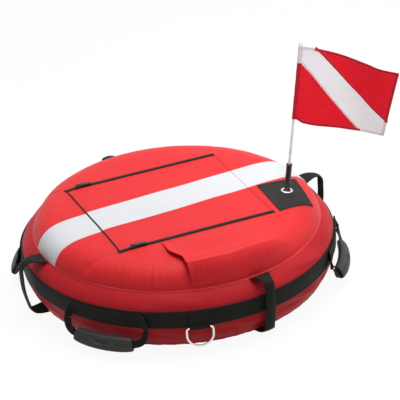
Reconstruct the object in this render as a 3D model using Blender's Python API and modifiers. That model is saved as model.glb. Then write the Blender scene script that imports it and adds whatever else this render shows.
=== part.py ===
"""Freediving buoy: a sewn fabric cover over an inflated ring, with a flag on a pole.

Metres, +Z up. The origin is the middle of the underside, and +X runs along the white stripe
towards the flag.
"""

import math

import bmesh
import bpy
from mathutils import Matrix, Vector

# Cover: its section, from the floor to the crown
BELT_RADIUS = 0.360
BELT_HEIGHT = 0.083
TOP_SEAM_RADIUS = 0.3285
TOP_SEAM_HEIGHT = 0.1335
BASE_SEAM_RADIUS = 0.338
BASE_SEAM_HEIGHT = 0.010
BASE_FLAT_RADIUS = 0.312
SIDE_FULLNESS = 2.7
DOME_RISE = 0.051
DOME_FLATNESS = 13.0
DOME_SHOULDER = 1.4
COVER_THICKNESS = 0.0012
PIPING_RADIUS = 0.0022
CLEARANCE = 0.0003
OVERLAY_CLEARANCE = 0.0004

# Belt webbing round the widest part
BELT_WIDTH = 0.040
BELT_THICKNESS = 0.0016

# White stripe across the top
STRIPE_WIDTH = 0.097
STRIPE_THICKNESS = 0.0006

# Access flap: corners on the crown, where its two zips start and end
FLAP_FRONT_LEFT = (-0.211, -0.152)
FLAP_FRONT_RIGHT = (0.153, -0.181)
FLAP_BACK_RIGHT = (0.178, 0.150)
FLAP_BACK_LEFT = (-0.194, 0.178)
FLAP_SLIT = 0.0010
BINDING_WIDTH = 0.005
BINDING_THICKNESS = 0.0012

# Zips
ZIP_TAPE_WIDTH = 0.012
ZIP_TAPE_THICKNESS = 0.0008
ZIP_COIL_WIDTH = 0.0048
ZIP_COIL_HEIGHT = 0.0016
ZIP_END_MARGIN = 0.004
SLIDER_LENGTH = 0.014
SLIDER_WIDTH = 0.0095
SLIDER_WALL = 0.0014
SLIDER_START = 0.028
BRIDGE_WIDTH = 0.0030
PULL_LENGTH = 0.036
PULL_WIDTH = 0.0095
PULL_THICKNESS = 0.0024
PULL_PIN_RADIUS = 0.0008
PULL_PLAY = 0.0004

# Side pocket, on the front of the dome between the front zip and the seam
POCKET_LEFT = -0.120
POCKET_RIGHT = 0.136
POCKET_ZIP_OFFSET = 0.0095
POCKET_SEAM_START = -111.3
POCKET_SEAM_END = -64.0
POCKET_THICKNESS = 0.0012
POCKET_CREASE = 0.86
POCKET_RISE = 0.007
POCKET_MOUTH_SHARE = 0.85
POCKET_MOUTH_LENGTH = 0.2
POCKET_END_LENGTH = 0.42
POCKET_SLOPE_LENGTH = 0.25
POCKET_COLUMNS = 14
POCKET_ROWS = 12

# Flag patch, grommet, pole and its rubber socket
PATCH_CORNERS = ((0.184, -0.053), (0.167, -0.187), (0.258, -0.178), (0.280, -0.066))
PATCH_THICKNESS = 0.0014
POLE_FOOT = (0.231, -0.111)
POLE_LEAN = 7.5
POLE_LEAN_TOWARDS = -5.0
POLE_DIAMETER = 0.006
POLE_LENGTH = 0.356
POLE_CAP_LENGTH = 0.008
POLE_CAP_WALL = 0.0012
SOCKET_DIAMETER = 0.0135
SOCKET_HEIGHT = 0.066
SOCKET_FLANGE_RADIUS = 0.019
SOCKET_FLANGE_THICKNESS = 0.003
SOCKET_FLOOR = 0.0015
GROMMET_BORE_RADIUS = 0.0090
GROMMET_RIM_RADIUS = 0.0140
GROMMET_METAL = 0.0008

# Flag
FLAG_LENGTH = 0.218
FLAG_HEIGHT = 0.172
FLAG_YAW = -48.0
FLAG_DROOP = 7.0
FLAG_THICKNESS = 0.0008
FLAG_TOP_MARGIN = 0.004
FLAG_WAVE = 0.008
FLAG_BAND_START = 0.075
FLAG_BAND_END = 0.165
SLEEVE_WALL = 0.0008
SEAM_SLIT = 0.0004

# Carrying straps: free webbing loops from the top seam to the base seam
STRAP_END_WIDTH = 0.047
STRAP_MIDDLE_WIDTH = 0.025
STRAP_THICKNESS = 0.0022
STRAP_STAND_OUT = 0.027
FRONT_STRAP_STAND_OUT = 0.0135
STRAP_FOLD_SHARE = 0.22
STRAP_ANGLES = {"right": 0.0, "back": 90.0, "left": 180.0, "front": -85.0}

# Handles: webbing sewn on the belt, through a moulded grip
HANDLE_ANGLES = {"front_left": -142.5, "front_right": -35.0, "back_right": 37.5, "back_left": 145.0}
HANDLE_SEWN_LENGTH = 0.152
HANDLE_SPAN = 0.182
HANDLE_WEBBING_WIDTH = 0.030
HANDLE_WEBBING_THICKNESS = 0.0018
HANDLE_DROP = 0.053
HANDLE_STAND_OUT = 0.020
HANDLE_TILT = -35.0
# Shares along a handle's leg: way inwards, way out, way down, twist
HANDLE_LEG_SHARES = (
    (0.18, 0.19, 0.075, 0.10),
    (0.00, 0.45, 0.320, 0.35),
    (0.07, 0.70, 0.660, 0.65),
    (0.39, 0.83, 0.850, 0.85),
    (1.00, 0.87, 0.953, 1.00),
)
HANDLE_BOW_SHARES = (0.97, 0.989)
GRIP_LENGTH = 0.130
GRIP_WIDTH = 0.034
GRIP_DEPTH = 0.019
GRIP_END_SHARE = 0.86
GRIP_PLAY = 0.0006
GRIP_SQUARENESS = 2.8
GRIP_RECESS_LENGTH = 0.040
GRIP_RECESS_EDGE = 0.0018
GRIP_RECESS_DEPTH = 0.0012

# D-rings in their webbing keepers, hanging from the belt
D_RING_ANGLES = {"front": -110.0, "back": 70.0}
D_RING_WIDTH = 0.062
D_RING_HEIGHT = 0.050
D_RING_WIRE = 0.005
D_RING_CORNER = 0.006
KEEPER_WIDTH = 0.045
KEEPER_THICKNESS = 0.0014
KEEPER_TOP_MARGIN = 0.002
KEEPER_DROP = 0.019

# Inflated ring inside, with its valve
TUBE_CENTRE_RADIUS = 0.270
TUBE_HALF_WIDTH = 0.078
TUBE_WALL = 0.0025
TUBE_PLAY = 0.0020
VALVE_FACET = 20
VALVE_STEM_RADIUS = 0.0040
VALVE_STEM_LENGTH = 0.026
VALVE_FLANGE_RADIUS = 0.011
VALVE_FLANGE_THICKNESS = 0.0016
VALVE_CAP_LENGTH = 0.011
VALVE_CAP_WALL = 0.0014

# Fineness of round pieces
ROUND_STEPS = 60
TUBE_STEPS = 36
TUBE_SECTION_POINTS = 12
GRIP_SECTION_POINTS = 12
SHARP_ANGLE = math.radians(35)

MERGE = 0.00001


def clear_scene():
    """Empty the scene before the model is built."""
    for obj in list(bpy.data.objects):
        bpy.data.objects.remove(obj, do_unlink=True)


def finish(name, colour, roughness, metallic=0.0):
    """A Principled material with the colour, roughness and metal of one part."""
    material = bpy.data.materials.new(name)
    material.use_nodes = True
    shader = material.node_tree.nodes["Principled BSDF"]
    shader.inputs["Base Color"].default_value = (*colour, 1.0)
    shader.inputs["Roughness"].default_value = roughness
    shader.inputs["Metallic"].default_value = metallic
    material.diffuse_color = (*colour, 1.0)
    return material


def collection_named(name):
    """A new collection in the scene."""
    collection = bpy.data.collections.new(name)
    bpy.context.scene.collection.children.link(collection)
    return collection


def part_from(name, bm, material):
    """Put a finished bmesh in the model's collection as one named part."""
    mesh = bpy.data.meshes.new(name)
    bm.to_mesh(mesh)
    bm.free()
    mesh.shade_smooth()
    mesh.set_sharp_from_angle(angle=SHARP_ANGLE)
    mesh.materials.append(material)
    part = bpy.data.objects.new(name, mesh)
    PARTS.objects.link(part)
    return part


def cutter_from(name, bm):
    """Put a bmesh in the cutters' collection, hidden from renders."""
    mesh = bpy.data.meshes.new(name)
    bm.to_mesh(mesh)
    bm.free()
    cutter = bpy.data.objects.new(name, mesh)
    cutter.hide_render = True
    cutter.display_type = "WIRE"
    CUTTERS.objects.link(cutter)
    return cutter


def as_cutter(part):
    """Turn a finished part into a cutter."""
    PARTS.objects.unlink(part)
    CUTTERS.objects.link(part)
    part.hide_render = True
    part.display_type = "WIRE"


def cut(part, cutter, operation="DIFFERENCE"):
    """Cut, keep or join with another object by an exact Boolean."""
    boolean = part.modifiers.new(f"{operation.lower()}_{cutter.name}", "BOOLEAN")
    boolean.operation = operation
    boolean.solver = "EXACT"
    boolean.object = cutter
    return part


def prism(name, outline, low, high):
    """A cutter with a flat outline in plan, between two heights."""
    bm = bmesh.new()
    face = bm.faces.new([bm.verts.new((x, y, low)) for x, y in outline])
    face.normal_update()
    if face.normal.z > 0:
        face.normal_flip()
    grown = bmesh.ops.extrude_face_region(bm, geom=[face])
    top = [item for item in grown["geom"] if isinstance(item, bmesh.types.BMVert)]
    bmesh.ops.translate(bm, verts=top, vec=(0, 0, high - low))
    bmesh.ops.recalc_face_normals(bm, faces=bm.faces)
    return cutter_from(name, bm)


def cylinder(radius, start, end, segments=24):
    """A bmesh rod between two points."""
    axis = Vector(end) - Vector(start)
    place = Matrix.Translation((Vector(start) + Vector(end)) / 2)
    place = place @ axis.to_track_quat("Z", "Y").to_matrix().to_4x4()
    bm = bmesh.new()
    bmesh.ops.create_cone(
        bm, cap_ends=True, segments=segments, radius1=radius, radius2=radius,
        depth=axis.length, matrix=place,
    )
    return bm


def turned(name, profile, material, closed=False, thickness=0.0, steps=ROUND_STEPS):
    """Turn a profile of (radius, height) points about Z; an open one becomes a thin shell."""
    bm = bmesh.new()
    verts = [bm.verts.new((radius, 0.0, height)) for radius, height in profile]
    for first, second in zip(verts, verts[1:]):
        bm.edges.new((first, second))
    if closed:
        bm.edges.new((verts[-1], verts[0]))
    part = part_from(name, bm, material)
    screw = part.modifiers.new("turn", "SCREW")
    screw.axis = "Z"
    screw.steps = steps
    screw.render_steps = steps
    screw.use_merge_vertices = True
    screw.merge_threshold = MERGE
    if thickness:
        wall = part.modifiers.new("wall", "SOLIDIFY")
        wall.thickness = thickness
        wall.offset = 0.0
        wall.use_even_offset = True
    return part


def loft(name, rings, material, cyclic=False):
    """Join rings of points, each with as many points, into one closed solid."""
    bm = bmesh.new()
    rows = [[bm.verts.new(point) for point in ring] for ring in rings]
    pairs = list(zip(rows, rows[1:]))
    if cyclic:
        pairs.append((rows[-1], rows[0]))
    for near, far in pairs:
        for index in range(len(near)):
            after = (index + 1) % len(near)
            bm.faces.new((near[index], near[after], far[after], far[index]))
    if not cyclic:
        bm.faces.new(list(reversed(rows[0])))
        bm.faces.new(rows[-1])
    bmesh.ops.recalc_face_normals(bm, faces=bm.faces)
    return part_from(name, bm, material)


def polar(radius, degrees, height=0.0):
    """A point from its radius and angle in plan."""
    angle = math.radians(degrees)
    return Vector((radius * math.cos(angle), radius * math.sin(angle), height))


def smooth_through(points, steps, cyclic=False):
    """Points on a Catmull-Rom curve through the given points, of any dimension."""
    count = len(points)
    spans = count if cyclic else count - 1
    result = []
    for span in range(spans):
        if cyclic:
            knots = [points[(span + shift) % count] for shift in (-1, 0, 1, 2)]
        else:
            knots = [points[min(max(span + shift, 0), count - 1)] for shift in (-1, 0, 1, 2)]
        for step in range(steps):
            t = step / steps
            weights = (
                -0.5 * t + t * t - 0.5 * t**3,
                1.0 - 2.5 * t * t + 1.5 * t**3,
                0.5 * t + 2.0 * t * t - 1.5 * t**3,
                -0.5 * t * t + 0.5 * t**3,
            )
            columns = zip(*knots)
            result.append(tuple(sum(w * c for w, c in zip(weights, column)) for column in columns))
    if not cyclic:
        result.append(tuple(points[-1]))
    return result


def side_radius(height):
    """Radius of the cover's side wall, fullest behind the belt."""
    if height >= BELT_HEIGHT:
        share = (height - BELT_HEIGHT) / (TOP_SEAM_HEIGHT - BELT_HEIGHT)
        return BELT_RADIUS - (BELT_RADIUS - TOP_SEAM_RADIUS) * share**SIDE_FULLNESS
    share = (BELT_HEIGHT - height) / (BELT_HEIGHT - BASE_SEAM_HEIGHT)
    return BELT_RADIUS - (BELT_RADIUS - BASE_SEAM_RADIUS) * share**SIDE_FULLNESS


def dome_height(radius):
    """Height of the dome's middle surface above a radius."""
    share = min(abs(radius) / TOP_SEAM_RADIUS, 1.0)
    return TOP_SEAM_HEIGHT + DOME_RISE * (1.0 - share**DOME_FLATNESS) ** (1.0 / DOME_SHOULDER)


def side_profile(heights):
    """The side wall's section at the given heights."""
    return [(side_radius(height), height) for height in heights]


def dome_profile(points=10):
    """The dome's section from its seam to the middle, closer together at the shoulder."""
    shares = [1.0 - (index / (points - 1)) ** 2 for index in range(points)]
    return [(TOP_SEAM_RADIUS * share, dome_height(TOP_SEAM_RADIUS * share)) for share in shares]


def panel_height(radius):
    """Height of the top panel's facets above a radius."""
    profile = dome_profile()
    for (outer, low), (inner, high) in zip(profile, profile[1:]):
        if inner <= radius <= outer:
            return low + (high - low) * (outer - radius) / (outer - inner)
    return TOP_SEAM_HEIGHT


def trimmed(profile, length):
    """A profile with a length cut off its start."""
    for index, (first, second) in enumerate(zip(profile, profile[1:])):
        span = math.dist(first, second)
        if span > length:
            share = length / span
            start = tuple(a + (b - a) * share for a, b in zip(first, second))
            return [start, *profile[index + 1:]]
        length -= span
    return profile[-2:]


def lifted(profile, distance):
    """A profile moved sideways by a distance, to the right of its direction."""
    result = []
    for index, point in enumerate(profile):
        before = profile[max(index - 1, 0)]
        after = profile[min(index + 1, len(profile) - 1)]
        along = Vector((after[0] - before[0], after[1] - before[1])).normalized()
        radius = max(point[0] + along.y * distance, 0.0)
        result.append((radius if index < len(profile) - 1 or point[0] > MERGE else 0.0,
                       point[1] - along.x * distance))
    return result


def on_dome(x, y, lift):
    """The point that lies at a distance above the dome, square to it."""
    radius = math.hypot(x, y)
    step = 0.0005
    slope = (dome_height(radius + step) - dome_height(radius - step)) / (2 * step)
    normal = Vector((-slope, 1.0)).normalized()
    out = Vector((x, y)) / radius if radius > MERGE else Vector((0.0, 0.0))
    return Vector((
        x + out.x * normal.x * lift,
        y + out.y * normal.x * lift,
        dome_height(radius) + normal.y * lift,
    ))


def overlay_lift(thickness):
    """How far the middle of a piece sewn on the dome lies above the dome's middle surface."""
    return COVER_THICKNESS / 2 + OVERLAY_CLEARANCE + thickness / 2


def dome_piece(name, outline, material, lift=0.0, thickness=COVER_THICKNESS):
    """A panel of the dome with an outline in plan, or a piece that lies over it."""
    profile = trimmed(lifted(dome_profile(), lift), PIPING_RADIUS + CLEARANCE + lift)
    part = turned(name, profile, material, thickness=thickness)
    low, high = TOP_SEAM_HEIGHT - DOME_RISE, TOP_SEAM_HEIGHT + 3 * DOME_RISE
    keeper = prism(f"{name}_outline", outline, low, high)
    return cut(part, keeper, "INTERSECT")


def shifted(line, offset):
    """A line in plan moved to its left by an offset."""
    start, end = Vector(line[0]), Vector(line[1])
    along = (end - start).normalized()
    side = Vector((-along.y, along.x)) * offset
    return (start + side, end + side)


def crossing(first, second):
    """Where two lines in plan meet."""
    along, other = first[1] - first[0], second[1] - second[0]
    gap = second[0] - first[0]
    share = (gap.x * other.y - gap.y * other.x) / (along.x * other.y - along.y * other.x)
    return tuple(first[0] + along * share)


def flap_outline(grow):
    """The flap's outline in plan, grown outwards on every side."""
    corners = [FLAP_FRONT_LEFT, FLAP_FRONT_RIGHT, FLAP_BACK_RIGHT, FLAP_BACK_LEFT]
    sides = [shifted((corners[i], corners[(i + 1) % 4]), -grow) for i in range(4)]
    return [crossing(sides[i - 1], sides[i]) for i in range(4)]


def build_cover():
    """The sewn cover: bottom, two side bands, top panel, piping."""
    red_side = finish("side_fabric", (0.40, 0.012, 0.020), 0.55)
    red_top = finish("top_fabric", (0.72, 0.030, 0.035), 0.50)
    piping = finish("piping", (0.75, 0.06, 0.06), 0.45)
    edge = PIPING_RADIUS + CLEARANCE

    flat = COVER_THICKNESS / 2
    turn_up = [
        (BASE_SEAM_RADIUS, BASE_SEAM_HEIGHT),
        ((BASE_SEAM_RADIUS + BASE_FLAT_RADIUS) / 2, flat + (BASE_SEAM_HEIGHT - flat) * 0.3),
        (BASE_FLAT_RADIUS, flat),
        (BASE_FLAT_RADIUS / 2, flat),
        (0.0, flat),
    ]
    turned("bottom_panel", trimmed(turn_up, edge), red_side, thickness=COVER_THICKNESS)

    half = BELT_WIDTH / 2
    low_step = (BELT_HEIGHT - half - BASE_SEAM_HEIGHT) / 2
    lower = [BASE_SEAM_HEIGHT, BASE_SEAM_HEIGHT + low_step, BELT_HEIGHT - half, BELT_HEIGHT - CLEARANCE / 2]
    lower = trimmed(side_profile(lower), edge)[::-1]
    turned("lower_side_band", lower, red_side, thickness=COVER_THICKNESS)
    high_step = (TOP_SEAM_HEIGHT - BELT_HEIGHT - half) / 2
    upper = [TOP_SEAM_HEIGHT, TOP_SEAM_HEIGHT - high_step, BELT_HEIGHT + half, BELT_HEIGHT + CLEARANCE / 2]
    turned("upper_side_band", trimmed(side_profile(upper), edge), red_side, thickness=COVER_THICKNESS)

    top = turned("top_panel", trimmed(dome_profile(), edge), red_top, thickness=COVER_THICKNESS)
    low, high = TOP_SEAM_HEIGHT, TOP_SEAM_HEIGHT + 2 * DOME_RISE
    cut(top, prism("flap_opening", flap_outline(FLAP_SLIT / 2), low, high))
    cut(top, cutter_from("pole_opening", grommet_hole()))

    for name, radius, height in (
        ("top_piping", TOP_SEAM_RADIUS, TOP_SEAM_HEIGHT),
        ("base_piping", BASE_SEAM_RADIUS, BASE_SEAM_HEIGHT),
    ):
        ring = [
            (radius + PIPING_RADIUS * math.cos(angle), height + PIPING_RADIUS * math.sin(angle))
            for angle in (-math.tau * index / 6 for index in range(6))
        ]
        turned(name, ring, piping, closed=True)
    return red_top


def build_belt(webbing):
    """The belt webbing, following the side wall's bulge."""
    lift = COVER_THICKNESS / 2 + CLEARANCE + BELT_THICKNESS / 2
    half = BELT_WIDTH / 2
    middle = side_profile([BELT_HEIGHT + half, BELT_HEIGHT, BELT_HEIGHT - half])
    turned("belt_webbing", [(r + lift, z) for r, z in middle], webbing, thickness=BELT_THICKNESS)


def belt_face(height):
    """Radius of the belt webbing's outer face."""
    return side_radius(height) + COVER_THICKNESS / 2 + CLEARANCE + BELT_THICKNESS


def build_flap(red_top, webbing):
    """The flap that closes the opening, the binding along its free end and the stripe."""
    dome_piece("access_flap", flap_outline(-FLAP_SLIT / 2), red_top)

    free_edge = (Vector(FLAP_BACK_LEFT), Vector(FLAP_FRONT_LEFT))
    clear_of_zip = ZIP_TAPE_WIDTH / 2 + CLEARANCE
    along = (free_edge[1] - free_edge[0]).normalized() * (clear_of_zip + 0.001)
    inner = shifted(free_edge, BINDING_WIDTH / 2)
    outer = shifted(free_edge, -BINDING_WIDTH / 2)
    outline = [outer[0] + along, outer[1] - along, inner[1] - along, inner[0] + along]
    dome_piece("flap_binding", outline, webbing, overlay_lift(BINDING_THICKNESS), BINDING_THICKNESS)

    white = finish("stripe_fabric", (0.85, 0.87, 0.89), 0.45)
    half = STRIPE_WIDTH / 2
    free, hinge = free_edge, (Vector(FLAP_FRONT_RIGHT), Vector(FLAP_BACK_RIGHT))
    gap = BINDING_WIDTH / 2 + CLEARANCE

    def edge_at(line, y):
        share = (y - line[0].y) / (line[1].y - line[0].y)
        return line[0].x + (line[1].x - line[0].x) * share

    reach = TOP_SEAM_RADIUS + DOME_RISE
    bounds = {
        "stripe_left": ((-reach, -reach), (edge_at(free, -half) - gap, edge_at(free, half) - gap)),
        "stripe_flap": (
            (edge_at(free, -half) + gap, edge_at(free, half) + gap),
            (edge_at(hinge, -half) - FLAP_SLIT, edge_at(hinge, half) - FLAP_SLIT),
        ),
        "stripe_right": (
            (edge_at(hinge, -half) + FLAP_SLIT, edge_at(hinge, half) + FLAP_SLIT),
            (reach, reach),
        ),
    }
    for name, ((left_front, left_back), (right_front, right_back)) in bounds.items():
        outline = [(left_front, -half), (right_front, -half), (right_back, half), (left_back, half)]
        dome_piece(name, outline, white, overlay_lift(STRIPE_THICKNESS), STRIPE_THICKNESS)


def zip_frame(start, end):
    """Unit vectors along and across a zip in plan, and its length."""
    line = Vector(end) - Vector(start)
    along = line.normalized()
    return along, Vector((-along.y, along.x)), line.length


def zip_section():
    """The zip's section: flat tape with the coil's ridge along its middle."""
    half, tape = ZIP_TAPE_WIDTH / 2, ZIP_TAPE_THICKNESS
    coil, top = ZIP_COIL_WIDTH / 2, ZIP_TAPE_THICKNESS + ZIP_COIL_HEIGHT
    return [
        (-half, 0.0), (-half, tape), (-coil, tape), (-coil * 0.7, top),
        (coil * 0.7, top), (coil, tape), (half, tape), (half, 0.0),
    ]


def build_zip(side, start, end, black, metal):
    """One straight zip on the dome, with its slider and pull tab."""
    along, across, length = zip_frame(start, end)
    base = COVER_THICKNESS / 2 + OVERLAY_CLEARANCE
    stations = 18
    rings = []
    for index in range(stations + 1):
        distance = -ZIP_END_MARGIN + (length + 2 * ZIP_END_MARGIN) * index / stations
        ring = []
        for sideways, up in zip_section():
            spot = Vector(start) + along * distance + across * sideways
            ring.append(on_dome(spot.x, spot.y, base + up))
        rings.append(ring)
    loft(f"{side}_zip", rings, black)

    spot = Vector(start) + along * SLIDER_START
    passed = [Vector(start) + along * (length * index / stations) for index in range(stations + 1)]
    floor = max(on_dome(place.x, place.y, base).z for place in passed)
    turn = Matrix((
        (along.x, across.x, 0.0, spot.x),
        (along.y, across.y, 0.0, spot.y),
        (0.0, 0.0, 1.0, floor),
        (0.0, 0.0, 0.0, 1.0),
    ))
    tip = spot + along * PULL_LENGTH
    rise = on_dome(tip.x, tip.y, base).z - floor
    build_slider(side, turn, metal)
    build_pull(side, turn, rise, black)


def slider_top():
    """Height of the slider's upper face above the zip tape's underside."""
    return ZIP_TAPE_THICKNESS + ZIP_COIL_HEIGHT + 2 * CLEARANCE + SLIDER_WALL


def bridge_axis():
    """Height of the pull tab's pin above the zip tape's underside."""
    return slider_top() + PULL_THICKNESS * math.sqrt(0.5) + PULL_PLAY


def bridge_reach():
    """How far the bridge reaches from the pin's axis."""
    return PULL_PIN_RADIUS + PULL_PLAY + SLIDER_WALL * 0.7


def pull_rest_tilt(rise):
    """The angle that lays the pull tab's tip on the coil, which lies higher there by a rise."""
    hang = bridge_axis() - PULL_THICKNESS / 2 - ZIP_TAPE_THICKNESS - ZIP_COIL_HEIGHT - 2 * CLEARANCE
    return math.asin((hang - rise) / PULL_LENGTH)


def block(size, centre):
    """A bmesh box of a size, about a centre."""
    bm = bmesh.new()
    bmesh.ops.create_cube(bm, size=1.0, matrix=Matrix.Translation(centre) @ Matrix.Diagonal((*size, 1.0)))
    return bm


def build_slider(side, turn, metal):
    """A slider that straddles the coil, with a bridge that the pull tab's pin runs through."""
    low, top = ZIP_TAPE_THICKNESS + CLEARANCE, slider_top()
    body = block((SLIDER_LENGTH, SLIDER_WIDTH, top - low), (0.0, 0.0, (top + low) / 2))
    nose = [v for v in body.verts if v.co.x < 0]
    bmesh.ops.scale(body, verts=nose, vec=(1.0, 0.72, 1.0))
    slider = part_from(f"{side}_zip_slider", body, metal)
    slider.matrix_world = turn

    pin, reach = bridge_axis(), bridge_reach()
    root = top - SLIDER_WALL / 2
    bridge = block((2 * reach, BRIDGE_WIDTH, pin + reach - root), (0.0, 0.0, (pin + reach + root) / 2))
    bridge = cutter_from(f"{side}_bridge", bridge)
    channel_height = ZIP_TAPE_THICKNESS + ZIP_COIL_HEIGHT + 2 * CLEARANCE
    channel_size = (SLIDER_LENGTH * 2, ZIP_COIL_WIDTH + 4 * CLEARANCE, channel_height)
    channel = block(channel_size, (0, 0, channel_height / 2))
    channel = cutter_from(f"{side}_channel", channel)
    eye = cutter_from(
        f"{side}_eye",
        cylinder(PULL_PIN_RADIUS + PULL_PLAY, (0, -SLIDER_WIDTH, pin), (0, SLIDER_WIDTH, pin), 12),
    )
    for cutter in (bridge, channel, eye):
        cutter.matrix_world = turn
    cut(slider, bridge, "UNION")
    cut(slider, channel)
    cut(slider, eye)


def build_pull(side, turn, rise, black):
    """A pull tab: a plate with a window at its end and a pin across that window."""
    window = 2 * (bridge_reach() * math.sqrt(2.0) + PULL_PLAY)
    back = -PULL_THICKNESS / 2
    plate = block((PULL_LENGTH, PULL_WIDTH, PULL_THICKNESS), (back + PULL_LENGTH / 2, 0, 0))
    tip = [v for v in plate.verts if v.co.x > PULL_LENGTH / 2]
    bmesh.ops.scale(plate, verts=tip, vec=(1.0, 0.8, 1.0))
    pull = part_from(f"{side}_zip_pull", plate, black)
    tilt = Matrix.Rotation(pull_rest_tilt(rise), 4, "Y")
    frame = turn @ Matrix.Translation((0.0, 0.0, bridge_axis())) @ tilt
    pull.matrix_world = frame

    hole = block((window, BRIDGE_WIDTH + 2 * PULL_PLAY, PULL_THICKNESS * 3), (0.0, 0.0, 0.0))
    hole = cutter_from(f"{side}_pull_window", hole)
    rod = cutter_from(
        f"{side}_pull_pin",
        cylinder(PULL_PIN_RADIUS, (0, -PULL_WIDTH * 0.4, 0), (0, PULL_WIDTH * 0.4, 0), 12),
    )
    hole.matrix_world = frame
    rod.matrix_world = frame
    cut(pull, hole)
    cut(pull, rod, "UNION")


def build_pocket(red_top):
    """The side pocket: a raised panel sewn to the zip, the seam and its right end, open at the left."""
    along, across, _ = zip_frame(FLAP_FRONT_LEFT, FLAP_FRONT_RIGHT)
    lift = COVER_THICKNESS / 2 + OVERLAY_CLEARANCE + POCKET_THICKNESS / 2
    edge_radius = TOP_SEAM_RADIUS - PIPING_RADIUS - CLEARANCE - POCKET_THICKNESS
    start_x = FLAP_FRONT_LEFT[0]

    def place(u, v):
        x = POCKET_LEFT + (POCKET_RIGHT - POCKET_LEFT) * u
        inner = Vector(FLAP_FRONT_LEFT) + along * ((x - start_x) / along.x) - across * POCKET_ZIP_OFFSET
        angle = POCKET_SEAM_START + (POCKET_SEAM_END - POCKET_SEAM_START) * u
        outer = polar(edge_radius, angle)
        x, y = inner.x + (outer.x - inner.x) * v, inner.y + (outer.y - inner.y) * v
        low = on_dome(x, y, lift)
        swell = POCKET_RISE * math.sin(math.pi / 2 * min(v / POCKET_CREASE, 1.0))
        crown = TOP_SEAM_HEIGHT + DOME_RISE + lift + swell
        if v > POCKET_CREASE:
            fall = (v - POCKET_CREASE) / (1.0 - POCKET_CREASE)
            crown += (low.z - crown) * fall**1.3
        end = math.sin(math.pi / 2 * min((1.0 - u) / POCKET_END_LENGTH, 1.0))
        mouth = POCKET_MOUTH_SHARE + (1.0 - POCKET_MOUTH_SHARE) * min(u / POCKET_MOUTH_LENGTH, 1.0)
        share = max(end, 0.0) * mouth * math.sin(math.pi / 2 * min(v / POCKET_SLOPE_LENGTH, 1.0))
        return low + Vector((0.0, 0.0, max(crown - low.z, 0.0) * share))

    bm = bmesh.new()
    bmesh.ops.create_grid(bm, x_segments=POCKET_COLUMNS, y_segments=POCKET_ROWS, size=0.5)
    for vert in bm.verts:
        v = 1.0 - (0.5 - vert.co.y) ** 1.35
        vert.co = place(vert.co.x + 0.5, v)
    pocket = part_from("side_pocket", bm, red_top)
    wall = pocket.modifiers.new("wall", "SOLIDIFY")
    wall.thickness = POCKET_THICKNESS
    wall.offset = 0.0


def pole_axis():
    """Unit vector along the leaning pole."""
    lean = math.radians(POLE_LEAN)
    return Vector((
        math.sin(lean) * math.cos(math.radians(POLE_LEAN_TOWARDS)),
        math.sin(lean) * math.sin(math.radians(POLE_LEAN_TOWARDS)),
        math.cos(lean),
    ))


def foot_height():
    """Height of the patch's upper face at the pole."""
    lift = COVER_THICKNESS / 2 + OVERLAY_CLEARANCE + PATCH_THICKNESS
    return panel_height(math.hypot(*POLE_FOOT)) + lift


def along_pole(distance):
    """The point at a distance along the pole from where it crosses the patch."""
    return Vector((*POLE_FOOT, foot_height())) + pole_axis() * distance


def grommet_hole():
    """The hole that the grommet's barrel goes through, in the patch and the top panel."""
    radius = GROMMET_BORE_RADIUS + GROMMET_METAL + CLEARANCE
    x, y = POLE_FOOT
    return cylinder(radius, (x, y, TOP_SEAM_HEIGHT), (x, y, TOP_SEAM_HEIGHT + 2 * DOME_RISE))


def dome_change(reach):
    """How far the dome's height changes over a reach from the pole's foot, outwards if positive."""
    foot = math.hypot(*POLE_FOOT)
    return abs(panel_height(foot + reach) - panel_height(foot))


def under_panel():
    """Height of the top panel's underside at the pole's foot."""
    return panel_height(math.hypot(*POLE_FOOT)) - COVER_THICKNESS / 2


def grommet_low():
    """Height of the grommet's lower face, clear of the top panel all round its rim."""
    return under_panel() - dome_change(GROMMET_RIM_RADIUS) - CLEARANCE - GROMMET_METAL


def flange_top():
    """Height of the socket flange's upper face, clear of the grommet and of the top panel."""
    under_slope = under_panel() - dome_change(SOCKET_FLANGE_RADIUS) - CLEARANCE
    return min(grommet_low() - CLEARANCE, under_slope)


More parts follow.
